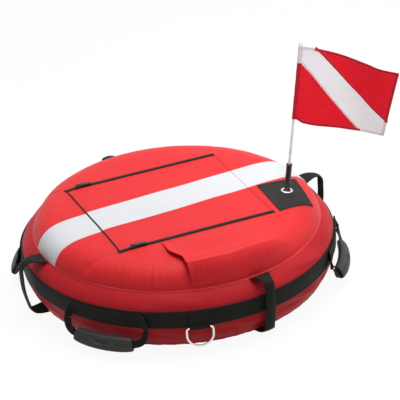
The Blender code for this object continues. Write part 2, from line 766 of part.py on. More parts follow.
def build_flag_stand(black, metal):
    """The patch, its grommet, the rubber socket, the pole and the pole's cap."""
    patch = dome_piece("flag_patch", PATCH_CORNERS, black, overlay_lift(PATCH_THICKNESS), PATCH_THICKNESS)
    cut(patch, cutter_from("patch_opening", grommet_hole()))

    low = grommet_low()
    top = foot_height() + dome_change(-GROMMET_RIM_RADIUS) + CLEARANCE + GROMMET_METAL
    bore, barrel, rim = GROMMET_BORE_RADIUS, GROMMET_BORE_RADIUS + GROMMET_METAL, GROMMET_RIM_RADIUS
    section = [
        (barrel, top), (rim, top - GROMMET_METAL * 0.3), (rim, top - GROMMET_METAL),
        (barrel, top - GROMMET_METAL), (barrel, low + GROMMET_METAL), (rim, low + GROMMET_METAL),
        (rim, low), (bore, low), (bore, top - GROMMET_METAL * 0.3),
    ]
    grommet = turned("patch_grommet", section, metal, closed=True, steps=28)
    grommet.location = (*POLE_FOOT, 0.0)

    rubber = finish("socket_rubber", (0.012, 0.012, 0.013), 0.6)
    flange_low = flange_top() - SOCKET_FLANGE_THICKNESS
    x, y = POLE_FOOT
    socket_low = flange_low + SOCKET_FLOOR - foot_height()
    tube = cylinder(SOCKET_DIAMETER / 2, along_pole(socket_low), along_pole(SOCKET_HEIGHT))
    socket = part_from("pole_socket", tube, rubber)
    flange = cylinder(SOCKET_FLANGE_RADIUS, (x, y, flange_low), (x, y, flange_top()))
    pole_low = flange_low + 2 * SOCKET_FLOOR - foot_height()
    bore_radius = POLE_DIAMETER / 2 + CLEARANCE
    bore = cylinder(bore_radius, along_pole(pole_low), along_pole(SOCKET_HEIGHT * 1.5), 16)
    cut(socket, cutter_from("socket_flange", flange), "UNION")
    cut(socket, cutter_from("socket_bore", bore))

    pale = finish("pole_fibreglass", (0.80, 0.81, 0.82), 0.35)
    rod = cylinder(POLE_DIAMETER / 2, along_pole(pole_low + CLEARANCE), along_pole(POLE_LENGTH), 16)
    part_from("flag_pole", rod, pale)
    cap_radius = POLE_DIAMETER / 2 + CLEARANCE + POLE_CAP_WALL
    cap_low = POLE_LENGTH - POLE_CAP_LENGTH
    cap_top = POLE_LENGTH + CLEARANCE + POLE_CAP_WALL
    cap = part_from("pole_cap", cylinder(cap_radius, along_pole(cap_low), along_pole(cap_top), 16), pale)
    below, roof = along_pole(cap_low - POLE_CAP_LENGTH), along_pole(POLE_LENGTH + CLEARANCE)
    inside = cylinder(POLE_DIAMETER / 2 + CLEARANCE, below, roof, 16)
    cut(cap, cutter_from("cap_bore", inside))


def flag_point(x, y, lift=0.0):
    """A point of the flag from its place in the flat cloth; x from the hoist, y up from the foot."""
    axis = pole_axis()
    yaw, droop = math.radians(FLAG_YAW), math.radians(FLAG_DROOP)
    out = Vector((math.cos(yaw), math.sin(yaw), 0.0))
    out = (out - axis * out.dot(axis)).normalized()
    side = axis.cross(out)
    share = x / FLAG_LENGTH
    wave = FLAG_WAVE * share * math.sin(math.pi * (1.7 * share + 0.5 * y / FLAG_HEIGHT))
    sag = FLAG_LENGTH * math.tan(droop) * share**1.5 * (0.55 + 0.45 * y / FLAG_HEIGHT)
    hoist = along_pole(POLE_LENGTH - POLE_CAP_LENGTH - FLAG_TOP_MARGIN - FLAG_HEIGHT + y)
    gap = POLE_DIAMETER / 2 + CLEARANCE + SLEEVE_WALL + CLEARANCE
    return hoist + out * (gap + x) - Vector((0.0, 0.0, sag)) + side * (wave + lift)


def build_flag(red_flag, white_flag):
    """The flag's three sewn panels and the sleeve that holds them on the pole."""
    upper = ((FLAG_BAND_START * 0.62, FLAG_HEIGHT), (FLAG_LENGTH, FLAG_HEIGHT - FLAG_BAND_END * 0.82))
    lower = ((0.0, FLAG_HEIGHT - FLAG_BAND_START * 0.62), (FLAG_BAND_END * 0.94, 0.0))

    def panel(name, keep, material):
        bm = bmesh.new()
        bmesh.ops.create_grid(bm, x_segments=12, y_segments=9, size=0.5)
        for vert in bm.verts:
            vert.co = Vector(((vert.co.x + 0.5) * FLAG_LENGTH, (vert.co.y + 0.5) * FLAG_HEIGHT, 0.0))
        for (start, end), above in keep:
            line = Vector(end) - Vector(start)
            normal = Vector((-line.y, line.x, 0.0)).normalized()
            if not above:
                normal.negate()
            point = Vector((*start, 0.0)) + normal * SEAM_SLIT / 2
            geom = bm.verts[:] + bm.edges[:] + bm.faces[:]
            bmesh.ops.bisect_plane(
                bm, geom=geom, plane_co=point, plane_no=normal, clear_inner=True, dist=MERGE,
            )
        for vert in bm.verts:
            vert.co = flag_point(vert.co.x, vert.co.y)
        part = part_from(name, bm, material)
        wall = part.modifiers.new("wall", "SOLIDIFY")
        wall.thickness = FLAG_THICKNESS
        wall.offset = 0.0

    panel("flag_red_upper", [(upper, True)], red_flag)
    panel("flag_white_band", [(upper, False), (lower, True)], white_flag)
    panel("flag_red_lower", [(lower, False)], red_flag)

    top = POLE_LENGTH - POLE_CAP_LENGTH - FLAG_TOP_MARGIN
    outer = POLE_DIAMETER / 2 + CLEARANCE + SLEEVE_WALL
    sleeve = cylinder(outer, along_pole(top - FLAG_HEIGHT), along_pole(top), 16)
    sleeve = part_from("flag_sleeve", sleeve, red_flag)
    below, above = along_pole(top - FLAG_HEIGHT - POLE_DIAMETER), along_pole(top + POLE_DIAMETER)
    bore = cylinder(POLE_DIAMETER / 2 + CLEARANCE, below, above, 16)
    cut(sleeve, cutter_from("sleeve_bore", bore))


def ribbon_rings(path, cyclic=False):
    """Flat webbing sections along a path of (point, width direction, width, thickness)."""
    rings = []
    count = len(path)
    for index, (point, across, width, thickness) in enumerate(path):
        if cyclic:
            along = path[(index + 1) % count][0] - path[index - 1][0]
        else:
            along = path[min(index + 1, count - 1)][0] - path[max(index - 1, 0)][0]
        along.normalize()
        across = (across - along * across.dot(along)).normalized()
        up = along.cross(across)
        half, deep = across * (width / 2), up * (thickness / 2)
        rings.append([point - half - deep, point + half - deep, point + half + deep, point - half + deep])
    return rings


def strap_route(stand_out):
    """Half-way line of a strap in the upright plane through the axis, as (radius, height)."""
    edge = PIPING_RADIUS + CLEARANCE
    out = max(BELT_RADIUS, TOP_SEAM_RADIUS, BASE_SEAM_RADIUS) + stand_out
    return [
        (TOP_SEAM_RADIUS + edge, TOP_SEAM_HEIGHT),
        (TOP_SEAM_RADIUS + (out - TOP_SEAM_RADIUS) * 0.55, TOP_SEAM_HEIGHT + 0.006),
        (out - 0.003, TOP_SEAM_HEIGHT - 0.003),
        (out, BELT_HEIGHT + BELT_WIDTH * 0.55),
        (out - 0.001, BELT_HEIGHT - BELT_WIDTH * 0.3),
        (out - 0.002 - stand_out * 0.20, BELT_HEIGHT * 0.45),
        (BASE_SEAM_RADIUS + (out - BASE_SEAM_RADIUS) * 0.66, BASE_SEAM_HEIGHT + 0.003),
        (BASE_SEAM_RADIUS + edge, BASE_SEAM_HEIGHT),
    ]


def build_straps(webbing):
    """Four carrying straps, wide where they are sewn in and folded narrow between."""
    for side, angle in STRAP_ANGLES.items():
        stand_out = FRONT_STRAP_STAND_OUT if side == "front" else STRAP_STAND_OUT
        line = smooth_through(strap_route(stand_out), 3)
        out = polar(1.0, angle)
        across = Vector((-out.y, out.x, 0.0))
        path = []
        for index, (radius, height) in enumerate(line):
            share = index / (len(line) - 1)
            end = min(min(share, 1.0 - share) / STRAP_FOLD_SHARE, 1.0)
            blend = end * end * (3.0 - 2.0 * end)
            width = STRAP_END_WIDTH + (STRAP_MIDDLE_WIDTH - STRAP_END_WIDTH) * blend
            path.append((out * radius + Vector((0.0, 0.0, height)), across, width, STRAP_THICKNESS))
        loft(f"{side}_strap", ribbon_rings(path), webbing)


def handle_route():
    """The handle webbing's closed loop as (along the belt, out from it, height, twist)."""
    near = HANDLE_WEBBING_THICKNESS / 2 + CLEARANCE
    sewn, leg, grip = HANDLE_SEWN_LENGTH / 2, HANDLE_SPAN / 2, GRIP_LENGTH / 2
    way_out = HANDLE_STAND_OUT - near
    half = [(sewn * step / 3, near, BELT_HEIGHT, 0.0) for step in (1, 2, 3)]
    for inwards, out, down, twist in HANDLE_LEG_SHARES:
        s = leg - (leg - grip) * inwards
        half.append((s, near + way_out * out, BELT_HEIGHT - HANDLE_DROP * down, HANDLE_TILT * twist))
    out, down = HANDLE_BOW_SHARES
    half.append((grip / 2, near + way_out * out, BELT_HEIGHT - HANDLE_DROP * down, HANDLE_TILT))
    other = [(-s, n, z, twist) for s, n, z, twist in reversed(half)]
    lowest = (0.0, HANDLE_STAND_OUT, BELT_HEIGHT - HANDLE_DROP, HANDLE_TILT)
    return [*half, lowest, *other, (0.0, near, BELT_HEIGHT, 0.0)]


def round_the_belt(angle, s, n, height):
    """A point from its way along the belt and its distance out from the belt's face."""
    return polar(belt_face(BELT_HEIGHT) + n, angle + math.degrees(s / BELT_RADIUS), height)


def handle_frame(angle, s, n, height, twist):
    """A point of the handle's middle line and its width direction there."""
    point = round_the_belt(angle, s, n, height)
    out = polar(1.0, angle + math.degrees(s / BELT_RADIUS))
    turn = math.radians(twist)
    return point, Vector((0.0, 0.0, math.cos(turn))) + out * math.sin(turn)


def grip_section(half_width, half_depth):
    """Points round a rounded-rectangle section, as (across, outwards)."""
    section = []
    for index in range(GRIP_SECTION_POINTS):
        angle = math.tau * (index + 0.5) / GRIP_SECTION_POINTS
        c, s = math.cos(angle), math.sin(angle)
        section.append((
            math.copysign(abs(c) ** (2 / GRIP_SQUARENESS), c) * half_width,
            math.copysign(abs(s) ** (2 / GRIP_SQUARENESS), s) * half_depth,
        ))
    return section


def build_handles(webbing, moulded):
    """Four handles: a webbing loop sewn on the belt, and the moulded grip that it runs through."""
    for side, angle in HANDLE_ANGLES.items():
        route = smooth_through(handle_route(), 2, cyclic=True)
        path = []
        for s, n, height, twist in route:
            point, across = handle_frame(angle, s, n, height, twist)
            path.append((point, across, HANDLE_WEBBING_WIDTH, HANDLE_WEBBING_THICKNESS))
        loft(f"{side}_handle_webbing", ribbon_rings(path, cyclic=True), webbing, cyclic=True)
        build_grip(side, angle, moulded)


def grip_frames(angle, reach):
    """Frames along the handle's low stretch: point, width direction, outward direction, way along."""
    route = smooth_through(handle_route(), 3, cyclic=True)
    low = BELT_HEIGHT - HANDLE_DROP * 0.8
    route = sorted(p for p in route if p[2] < low and abs(p[0]) < reach + 0.001)
    frames = []
    for index, (s, n, height, twist) in enumerate(route):
        before = handle_frame(angle, *route[max(index - 1, 0)])[0]
        after = handle_frame(angle, *route[min(index + 1, len(route) - 1)])[0]
        point, across = handle_frame(angle, s, n, height, twist)
        along = (after - before).normalized()
        across = (across - along * across.dot(along)).normalized()
        outwards = along.cross(across)
        outwards *= math.copysign(1.0, outwards.dot(polar(1.0, angle)))
        frames.append((point, across, outwards, s))
    return frames


def section_rings(frames, section_at):
    """Rings of points for a loft, from a section of (across, outwards) at each frame."""
    rings = []
    for point, across, outwards, s in frames:
        rings.append([point + across * a + outwards * b for a, b in section_at(s)])
    return rings


def recess_grip(grip, frames):
    """Press a shallow recess into the middle of the grip's outward facets."""
    outward_facet = GRIP_SECTION_POINTS // 4 - 1
    bm = bmesh.new()
    bm.from_mesh(grip.data)
    bm.faces.ensure_lookup_table()
    floor = []
    for index, (near, far) in enumerate(zip(frames, frames[1:])):
        if max(abs(near[3]), abs(far[3])) < GRIP_RECESS_LENGTH / 2:
            floor.append(bm.faces[index * GRIP_SECTION_POINTS + outward_facet])
    bmesh.ops.inset_region(
        bm, faces=floor, thickness=GRIP_RECESS_EDGE, depth=-GRIP_RECESS_DEPTH, use_even_offset=True,
    )
    bm.to_mesh(grip.data)
    bm.free()
    grip.data.set_sharp_from_angle(angle=SHARP_ANGLE)


def build_grip(side, angle, moulded):
    """A moulded grip with a channel for the webbing and a shallow recess in its outer face."""
    reach = GRIP_LENGTH / 2

    def outer(s):
        size = 1.0 - (1.0 - GRIP_END_SHARE) * min(abs(s) / reach, 1.0) ** 4
        return grip_section(GRIP_WIDTH / 2 * size, GRIP_DEPTH / 2 * size)

    def channel(_):
        wide = HANDLE_WEBBING_WIDTH / 2 + GRIP_PLAY
        deep = HANDLE_WEBBING_THICKNESS / 2 + GRIP_PLAY
        return [(wide, -deep), (wide, deep), (-wide, deep), (-wide, -deep)]

    frames = grip_frames(angle, reach)
    grip = loft(f"{side}_handle_grip", section_rings(frames, outer), moulded)
    recess_grip(grip, frames)
    ends = (frames[0][3], frames[-1][3])
    longer = [frame for frame in grip_frames(angle, reach * 1.3) if frame[3] not in ends]
    slot = loft(f"{side}_grip_channel", section_rings(longer, channel), moulded)
    as_cutter(slot)
    cut(grip, slot)


def belt_mount_frame(angle, out, height):
    """A frame on the belt: X along it, Y outwards, Z up."""
    place = Matrix.Identity(4)
    place.col[0] = (*polar(1.0, angle - 90.0), 0.0)
    place.col[1] = (*polar(1.0, angle), 0.0)
    place.col[2] = (0.0, 0.0, 1.0, 0.0)
    place.col[3] = (*polar(out, angle, height), 1.0)
    return place


def d_ring_bar():
    """Radius and height of the D-ring's straight bar."""
    eye = D_RING_WIRE / 2 + CLEARANCE + KEEPER_THICKNESS
    height = BELT_HEIGHT - KEEPER_DROP
    lowest = max(height - D_RING_HEIGHT, BASE_SEAM_HEIGHT)
    widest = max(side_radius(height + (lowest - height) * step / 4) for step in range(5))
    clear_of_cover = widest + COVER_THICKNESS / 2 + CLEARANCE + D_RING_WIRE / 2
    return max(belt_face(BELT_HEIGHT) + CLEARANCE + eye, clear_of_cover), height


def build_d_ring(side, angle, webbing, metal):
    """A steel D-ring and the webbing keeper that holds its straight bar on the belt."""
    out, height = d_ring_bar()
    place = belt_mount_frame(angle, out, height)
    half = (D_RING_WIDTH - D_RING_WIRE) / 2
    drop = D_RING_HEIGHT - D_RING_WIRE
    corner = D_RING_CORNER
    points = []
    for sign in (1, -1):
        centre = (sign * (half - corner), -corner)
        turns = [math.radians(90 - 90 * step / 3) for step in range(4)]
        bend = [(centre[0] + sign * corner * math.cos(t), centre[1] + corner * math.sin(t)) for t in turns]
        points += bend if sign > 0 else bend[::-1]
        if sign > 0:
            bow = drop - half if drop > half else drop * 0.4
            for step in range(13):
                t = math.pi * step / 12
                points.append((half * math.cos(t), -bow - (drop - bow) * math.sin(t)))
    curve = bpy.data.curves.new(f"{side}_d_ring", "CURVE")
    curve.dimensions = "3D"
    curve.bevel_depth = D_RING_WIRE / 2
    curve.bevel_resolution = 2
    curve.materials.append(metal)
    spline = curve.splines.new("POLY")
    spline.points.add(len(points) - 1)
    for item, (x, z) in zip(spline.points, points):
        item.co = (x, 0.0, z, 1.0)
    spline.use_cyclic_u = True
    ring = bpy.data.objects.new(f"{side}_d_ring", curve)
    ring.matrix_world = place
    PARTS.objects.link(ring)

    eye_inner = D_RING_WIRE / 2 + CLEARANCE
    eye_outer = eye_inner + KEEPER_THICKNESS
    back = -eye_outer
    top = BELT_WIDTH / 2 + KEEPER_DROP - KEEPER_TOP_MARGIN
    front = back + 2 * KEEPER_THICKNESS
    arc = []
    for step in range(11):
        t = math.radians(145 - 325 * step / 10)
        arc.append((eye_outer * math.cos(t), eye_outer * math.sin(t)))
    neck = [p for p in arc if p[0] > back + KEEPER_THICKNESS * 0.5 or p[1] < 0]
    outline = [(back, top), (front, top), (front, eye_outer * 1.5), *neck, (back, 0.0)]
    bm = bmesh.new()
    verts = [bm.verts.new((-KEEPER_WIDTH / 2, y, z)) for y, z in outline]
    face = bm.faces.new(verts)
    grown = bmesh.ops.extrude_face_region(bm, geom=[face])
    moved = [item for item in grown["geom"] if isinstance(item, bmesh.types.BMVert)]
    bmesh.ops.translate(bm, verts=moved, vec=(KEEPER_WIDTH, 0.0, 0.0))
    bmesh.ops.remove_doubles(bm, verts=bm.verts, dist=MERGE)
    bmesh.ops.recalc_face_normals(bm, faces=bm.faces)
    keeper = part_from(f"{side}_d_ring_keeper", bm, webbing)
    keeper.matrix_world = place
    bore = cylinder(eye_inner, (-KEEPER_WIDTH, 0, 0), (KEEPER_WIDTH, 0, 0), 16)
    bore = cutter_from(f"{side}_keeper_eye", bore)
    bore.matrix_world = place
    cut(keeper, bore)


def tube_top():
    """Height of the inflated ring's top, just under the socket's flange."""
    return flange_top() - SOCKET_FLANGE_THICKNESS - CLEARANCE


def tube_section():
    """The inflated ring's section: round towards the middle, pressed to the cover outside."""
    bottom = COVER_THICKNESS + CLEARANCE
    half_height = (tube_top() - bottom) / 2
    centre = Vector((TUBE_CENTRE_RADIUS, bottom + half_height))
    flat = math.tan(math.pi / TUBE_SECTION_POINTS) / TUBE_HALF_WIDTH
    tall = 1.0 / math.sqrt(1.0 / half_height**2 - flat**2)
    rise = (TOP_SEAM_HEIGHT - BASE_SEAM_HEIGHT) / 15
    side = side_profile([BASE_SEAM_HEIGHT + rise * index for index in range(16)])
    wall = [*side, *dome_profile(16)[1:]]
    margin = PIPING_RADIUS + TUBE_PLAY
    corners = []
    for index in range(TUBE_SECTION_POINTS):
        angle = -math.tau * (index + 0.5) / TUBE_SECTION_POINTS
        ray = Vector((math.cos(angle), math.sin(angle)))
        reach = 1.0 / math.hypot(ray.x / TUBE_HALF_WIDTH, ray.y / tall)
        for first, second in zip(wall, wall[1:]):
            start = Vector(first)
            span = Vector(second) - start
            across = ray.x * span.y - ray.y * span.x
            if abs(across) < MERGE * MERGE:
                continue
            gap = start - centre
            distance = (gap.x * span.y - gap.y * span.x) / across
            share = (gap.x * ray.y - gap.y * ray.x) / across
            if distance > 0 and 0 <= share <= 1:
                reach = min(reach, distance - margin)
        corners.append(ray * reach)
    for point in wall:
        offset = Vector(point) - centre
        turn = -math.atan2(offset.y, offset.x) / math.tau * TUBE_SECTION_POINTS - 0.5
        near = math.floor(turn) % TUBE_SECTION_POINTS
        far = (near + 1) % TUBE_SECTION_POINTS
        facet = corners[far] - corners[near]
        reach = corners[near].cross(facet) / offset.normalized().cross(facet)
        limit = offset.length - margin
        if reach > limit:
            corners[near] = corners[near] * (limit / reach)
            corners[far] = corners[far] * (limit / reach)
    return [tuple(centre + corner) for corner in corners]


def build_tube(metal):
    """The inflated rubber ring, its valve and the valve's cap."""
    rubber = finish("tube_rubber", (0.02, 0.02, 0.022), 0.55)
    section = tube_section()
    tube = turned("inflated_ring", section, rubber, closed=True, steps=TUBE_STEPS)
    wall = tube.modifiers.new("wall", "SOLIDIFY")
    wall.thickness = TUBE_WALL
    wall.offset = -1.0

    middle = (tube_top() + COVER_THICKNESS + CLEARANCE) / 2
    facet = 360.0 / TUBE_STEPS
    angle = facet * (VALVE_FACET + 0.5)
    inner = min(radius for radius, _ in section) * math.cos(math.radians(facet / 2))
    inward = polar(-1.0, angle)
    face = polar(inner, angle, middle)
    through = inward * TUBE_WALL * 3
    bore = cylinder(VALVE_STEM_RADIUS + CLEARANCE, face - through, face + through, 12)
    cut(tube, cutter_from("valve_bore", bore))

    seat = face + inward * CLEARANCE
    stem_end = seat + inward * VALVE_STEM_LENGTH
    stem = cylinder(VALVE_STEM_RADIUS, face - inward * TUBE_WALL, stem_end, 16)
    stem = part_from("ring_valve", stem, metal)
    flange = cylinder(VALVE_FLANGE_RADIUS, seat, seat + inward * VALVE_FLANGE_THICKNESS, 20)
    cut(stem, cutter_from("valve_flange", flange), "UNION")
    cap_radius = VALVE_STEM_RADIUS + CLEARANCE + VALVE_CAP_WALL
    open_end = stem_end - inward * (VALVE_CAP_LENGTH - VALVE_CAP_WALL - CLEARANCE)
    closed_end = stem_end + inward * (VALVE_CAP_WALL + CLEARANCE)
    cap = part_from("valve_cap", cylinder(cap_radius, open_end, closed_end, 12), rubber)
    outside = open_end - inward * VALVE_CAP_LENGTH
    inside = cylinder(VALVE_STEM_RADIUS + CLEARANCE, outside, stem_end + inward * CLEARANCE, 12)
    cut(cap, cutter_from("valve_cap_bore", inside))


def build_buoy():
    """Build every piece of the buoy."""
    webbing = finish("black_webbing", (0.010, 0.010, 0.011), 0.7)
    black = finish("black_fabric", (0.02, 0.02, 0.021), 0.6)
    moulded = finish("grip_moulding", (0.03, 0.032, 0.03), 0.45)
    steel = finish("steel", (0.62, 0.62, 0.60), 0.22, 1.0)
    dark_metal = finish("slider_metal", (0.05, 0.05, 0.05), 0.4, 0.8)
    red_flag = finish("flag_red", (0.75, 0.01, 0.02), 0.6)
    white_flag = finish("flag_white", (0.88, 0.89, 0.90), 0.6)

    red_top = build_cover()
    build_belt(webbing)
    build_flap(red_top, webbing)
    build_zip("front", FLAP_FRONT_LEFT, FLAP_FRONT_RIGHT, black, dark_metal)
    build_zip("back", FLAP_BACK_LEFT, FLAP_BACK_RIGHT, black, dark_metal)
    build_pocket(red_top)
    build_flag_stand(black, steel)
    build_flag(red_flag, white_flag)
    build_straps(webbing)
    build_handles(webbing, moulded)
    for side, angle in D_RING_ANGLES.items():
        build_d_ring(side, angle, webbing, steel)
    build_tube(steel)


clear_scene()
PARTS = collection_named("freediving_buoy")
CUTTERS = collection_named("cutters")
build_buoy()
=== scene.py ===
"""Dressed model of a freediving buoy: sewn cover, webbing, zips, handles, rings and flag."""

import logging
import math
from dataclasses import dataclass, field
from enum import Enum
from typing import Callable, Iterable, Sequence

import bmesh
import bpy
import numpy as np
from mathutils import Matrix, Vector


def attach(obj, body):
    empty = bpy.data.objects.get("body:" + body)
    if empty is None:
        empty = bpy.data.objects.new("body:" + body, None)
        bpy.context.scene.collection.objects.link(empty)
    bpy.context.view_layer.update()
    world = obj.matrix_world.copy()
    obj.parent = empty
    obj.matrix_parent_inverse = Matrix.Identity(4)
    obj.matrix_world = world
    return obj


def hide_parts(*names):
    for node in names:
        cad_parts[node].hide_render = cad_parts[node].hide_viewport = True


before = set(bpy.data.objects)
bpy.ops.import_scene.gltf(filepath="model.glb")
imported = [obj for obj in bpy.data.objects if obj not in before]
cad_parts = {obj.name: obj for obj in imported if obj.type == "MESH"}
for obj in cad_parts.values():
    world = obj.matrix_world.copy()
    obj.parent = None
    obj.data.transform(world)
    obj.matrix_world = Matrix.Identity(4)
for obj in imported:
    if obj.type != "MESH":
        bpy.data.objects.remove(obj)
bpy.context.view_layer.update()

logging.basicConfig(level=logging.INFO, format="%(message)s")
LOG = logging.getLogger("buoy")

MERGE = 0.00001
ROOT = "buoy"

Piece = bpy.types.Object
Material = bpy.types.Material
NodeTree = bpy.types.NodeTree
NodeSocket = bpy.types.NodeSocket
Points = np.ndarray
Line = Sequence[tuple[float, float]]
Spot = Sequence[float]
Colour = tuple[float, float, float]


class Slot(Enum):
    """The record's material slots."""

    SIDE = "side_fabric"
    TOP = "top_fabric"
    STRIPE = "stripe_fabric"
    PIPING = "piping"
    WEBBING = "black_webbing"
    BLACK_CLOTH = "black_fabric"
    SLIDER = "slider_metal"
    GRIP = "grip_moulding"
    STEEL = "steel"
    SOCKET = "socket_rubber"
    POLE = "pole_fibreglass"
    FLAG_RED = "flag_red"
    FLAG_WHITE = "flag_white"


class Coat(Enum):
    """What a finish's fine pattern runs on."""

    OBJECT = "object coordinates"
    LENGTH = "the piece's own map, in metres"


# ---------------------------------------------------------------- mesh craft


def pick(piece: Piece) -> Piece:
    """Make one piece the only selected and active one, in object mode.

    Args:
        piece: The piece to work on.

    Returns:
        The same piece.
    """
    if bpy.context.mode != "OBJECT":
        bpy.ops.object.mode_set(mode="OBJECT")
    bpy.ops.object.select_all(action="DESELECT")
    piece.select_set(True)
    bpy.context.view_layer.objects.active = piece
    return piece


def edit(piece: Piece) -> None:
    """Enter edit mode on a piece with all of it selected.

    Args:
        piece: The piece to edit.
    """
    pick(piece)
    bpy.ops.object.mode_set(mode="EDIT")
    bpy.ops.mesh.select_all(action="SELECT")


def done() -> None:
    """Leave edit mode."""
    bpy.ops.object.mode_set(mode="OBJECT")


def named(name: str) -> Piece:
    """Name the primitive just added and settle its place into its mesh.

    Args:
        name: The new piece's name.

    Returns:
        The piece.
    """
    piece = bpy.context.object
    piece.name = name
    piece.data.name = name
    pick(piece)
    bpy.ops.object.transform_apply(location=True, rotation=True, scale=True)
    return piece


def copy_of(piece: Piece, name: str) -> Piece:
    """Copy a piece with its own mesh.

    Args:
        piece: The piece to copy.
        name: The copy's name.

    Returns:
        The copy.
    """
    pick(piece)
    bpy.ops.object.duplicate()
    twin = bpy.context.object
    twin.name = name
    twin.data.name = name
    return twin


def points_of(piece: Piece) -> Points:
    """The piece's vertices as an array of rows.

    Args:
        piece: A mesh piece.

    Returns:
        An array of shape (vertices, 3).
    """
    flat = np.zeros(len(piece.data.vertices) * 3)
    piece.data.vertices.foreach_get("co", flat)
    return flat.reshape(-1, 3)


def put_points(piece: Piece, points: Points) -> None:
    """Move the piece's vertices.

    Args:
        piece: A mesh piece.
        points: An array of shape (vertices, 3).
    """
    piece.data.vertices.foreach_set("co", np.ascontiguousarray(points).ravel())
    piece.data.update()


def lay_map(piece: Piece, rule: Callable[[Points], Points]) -> None:
    """Write the piece's own map in metres from the places of its corners.

    Args:
        piece: A mesh piece.
        rule: Gives (corners, 2) map places from (corners, 3) points.
    """
    mesh = piece.data
    layer = mesh.uv_layers.get("UVMap") or mesh.uv_layers.new(name="UVMap")
    corners = np.zeros(len(mesh.loops), int)
    mesh.loops.foreach_get("vertex_index", corners)
    layer.data.foreach_set("uv", rule(points_of(piece)[corners]).ravel())


def scale_map(piece: Piece, width: float, length: float) -> None:
    """Stretch a grid's map from the unit square to metres.

    Args:
        piece: A piece made from a grid.
        width: Size along the map's first axis.
        length: Size along its second axis.
    """
    layer = piece.data.uv_layers[0]
    flat = np.zeros(len(layer.data) * 2)
    layer.data.foreach_get("uv", flat)
    layer.data.foreach_set("uv", (flat.reshape(-1, 2) * (width, length)).ravel())


def apply_all(piece: Piece) -> Piece:
    """Apply every modifier on a piece.

    Args:
        piece: The piece.

    Returns:
        The same piece.
    """
    pick(piece)
    for modifier in list(piece.modifiers):
        bpy.ops.object.modifier_apply(modifier=modifier.name)
    return piece


def face_away(piece: Piece, centre: Spot) -> None:
    """Turn an open shell's faces so that most look away from a point.

    Args:
        piece: An open shell.
        centre: The point to look away from.
    """
    edit(piece)
    bpy.ops.mesh.normals_make_consistent(inside=False)
    done()
    mesh = piece.data
    count = len(mesh.polygons)
    normals, centres, areas = np.zeros(count * 3), np.zeros(count * 3), np.zeros(count)
    mesh.polygons.foreach_get("normal", normals)
    mesh.polygons.foreach_get("center", centres)
    mesh.polygons.foreach_get("area", areas)
    outward = (normals.reshape(-1, 3) * (centres.reshape(-1, 3) - np.array(centre))).sum(1)
    if (outward * areas).sum() < 0:
        edit(piece)
        bpy.ops.mesh.flip_normals()
        done()


def outward(piece: Piece) -> Piece:
    """Turn a closed piece's faces outward.

    Args:
        piece: The closed piece.

    Returns:
        The same piece.
    """
    edit(piece)
    bpy.ops.mesh.normals_make_consistent(inside=False)
    done()
    return piece


def without_faces(piece: Piece, test: Callable[[Vector], bool]) -> Piece:
    """Delete the faces whose middle passes a test.

    Args:
        piece: The piece.
        test: Says whether a face with this middle goes.

    Returns:
        The same piece.
    """
    edit(piece)
    bpy.ops.mesh.select_mode(type="FACE")
    bpy.ops.mesh.select_all(action="DESELECT")
    work = bmesh.from_edit_mesh(piece.data)
    for face in work.faces:
        face.select = test(face.calc_center_median())
    bmesh.update_edit_mesh(piece.data)
    bpy.ops.mesh.delete(type="FACE")
    bpy.ops.mesh.select_mode(type="VERT")
    done()
    return piece


def thicken(piece: Piece, thickness: float, offset: float = -1.0) -> Piece:
    """Give an open shell a wall.

    Args:
        piece: An open shell with its faces outward.
        thickness: The wall's thickness.
        offset: -1 puts the wall inside, 0 on both sides, 1 outside.

    Returns:
        The same piece.
    """
    wall = piece.modifiers.new("wall", "SOLIDIFY")
    wall.thickness = thickness
    wall.offset = offset
    return apply_all(piece)


def rounded(piece: Piece, width: float, segments: int = 2, angle: float = 40.0) -> Piece:
    """Round the piece's sharp edges.

    Args:
        piece: The piece.
        width: The rounding's width.
        segments: Steps in the rounding.
        angle: Edges sharper than this, in degrees, are rounded.

    Returns:
        The same piece.
    """
    bevel = piece.modifiers.new("rounding", "BEVEL")
    bevel.width = width
    bevel.segments = segments
    bevel.limit_method = "ANGLE"
    bevel.angle_limit = math.radians(angle)
    return apply_all(piece)


def smoothed(piece: Piece, angle: float = 50.0) -> Piece:
    """Shade a piece smooth except at sharp edges.

    Args:
        piece: The piece.
        angle: Edges sharper than this, in degrees, stay sharp.

    Returns:
        The same piece.
    """
    pick(piece)
    bpy.ops.object.shade_smooth_by_angle(angle=math.radians(angle))
    return piece


def grid(name: str, columns: int, rows: int) -> Piece:
    """A flat unit grid from (0, 0) to (1, 1), to be laid into a shape.

    Args:
        name: The piece's name.
        columns: Faces along X.
        rows: Faces along Y.

    Returns:
        The piece.
    """
    bpy.ops.mesh.primitive_grid_add(
        x_subdivisions=columns, y_subdivisions=rows, size=1.0, location=(0.5, 0.5, 0.0), calc_uvs=True,
    )
    return named(name)


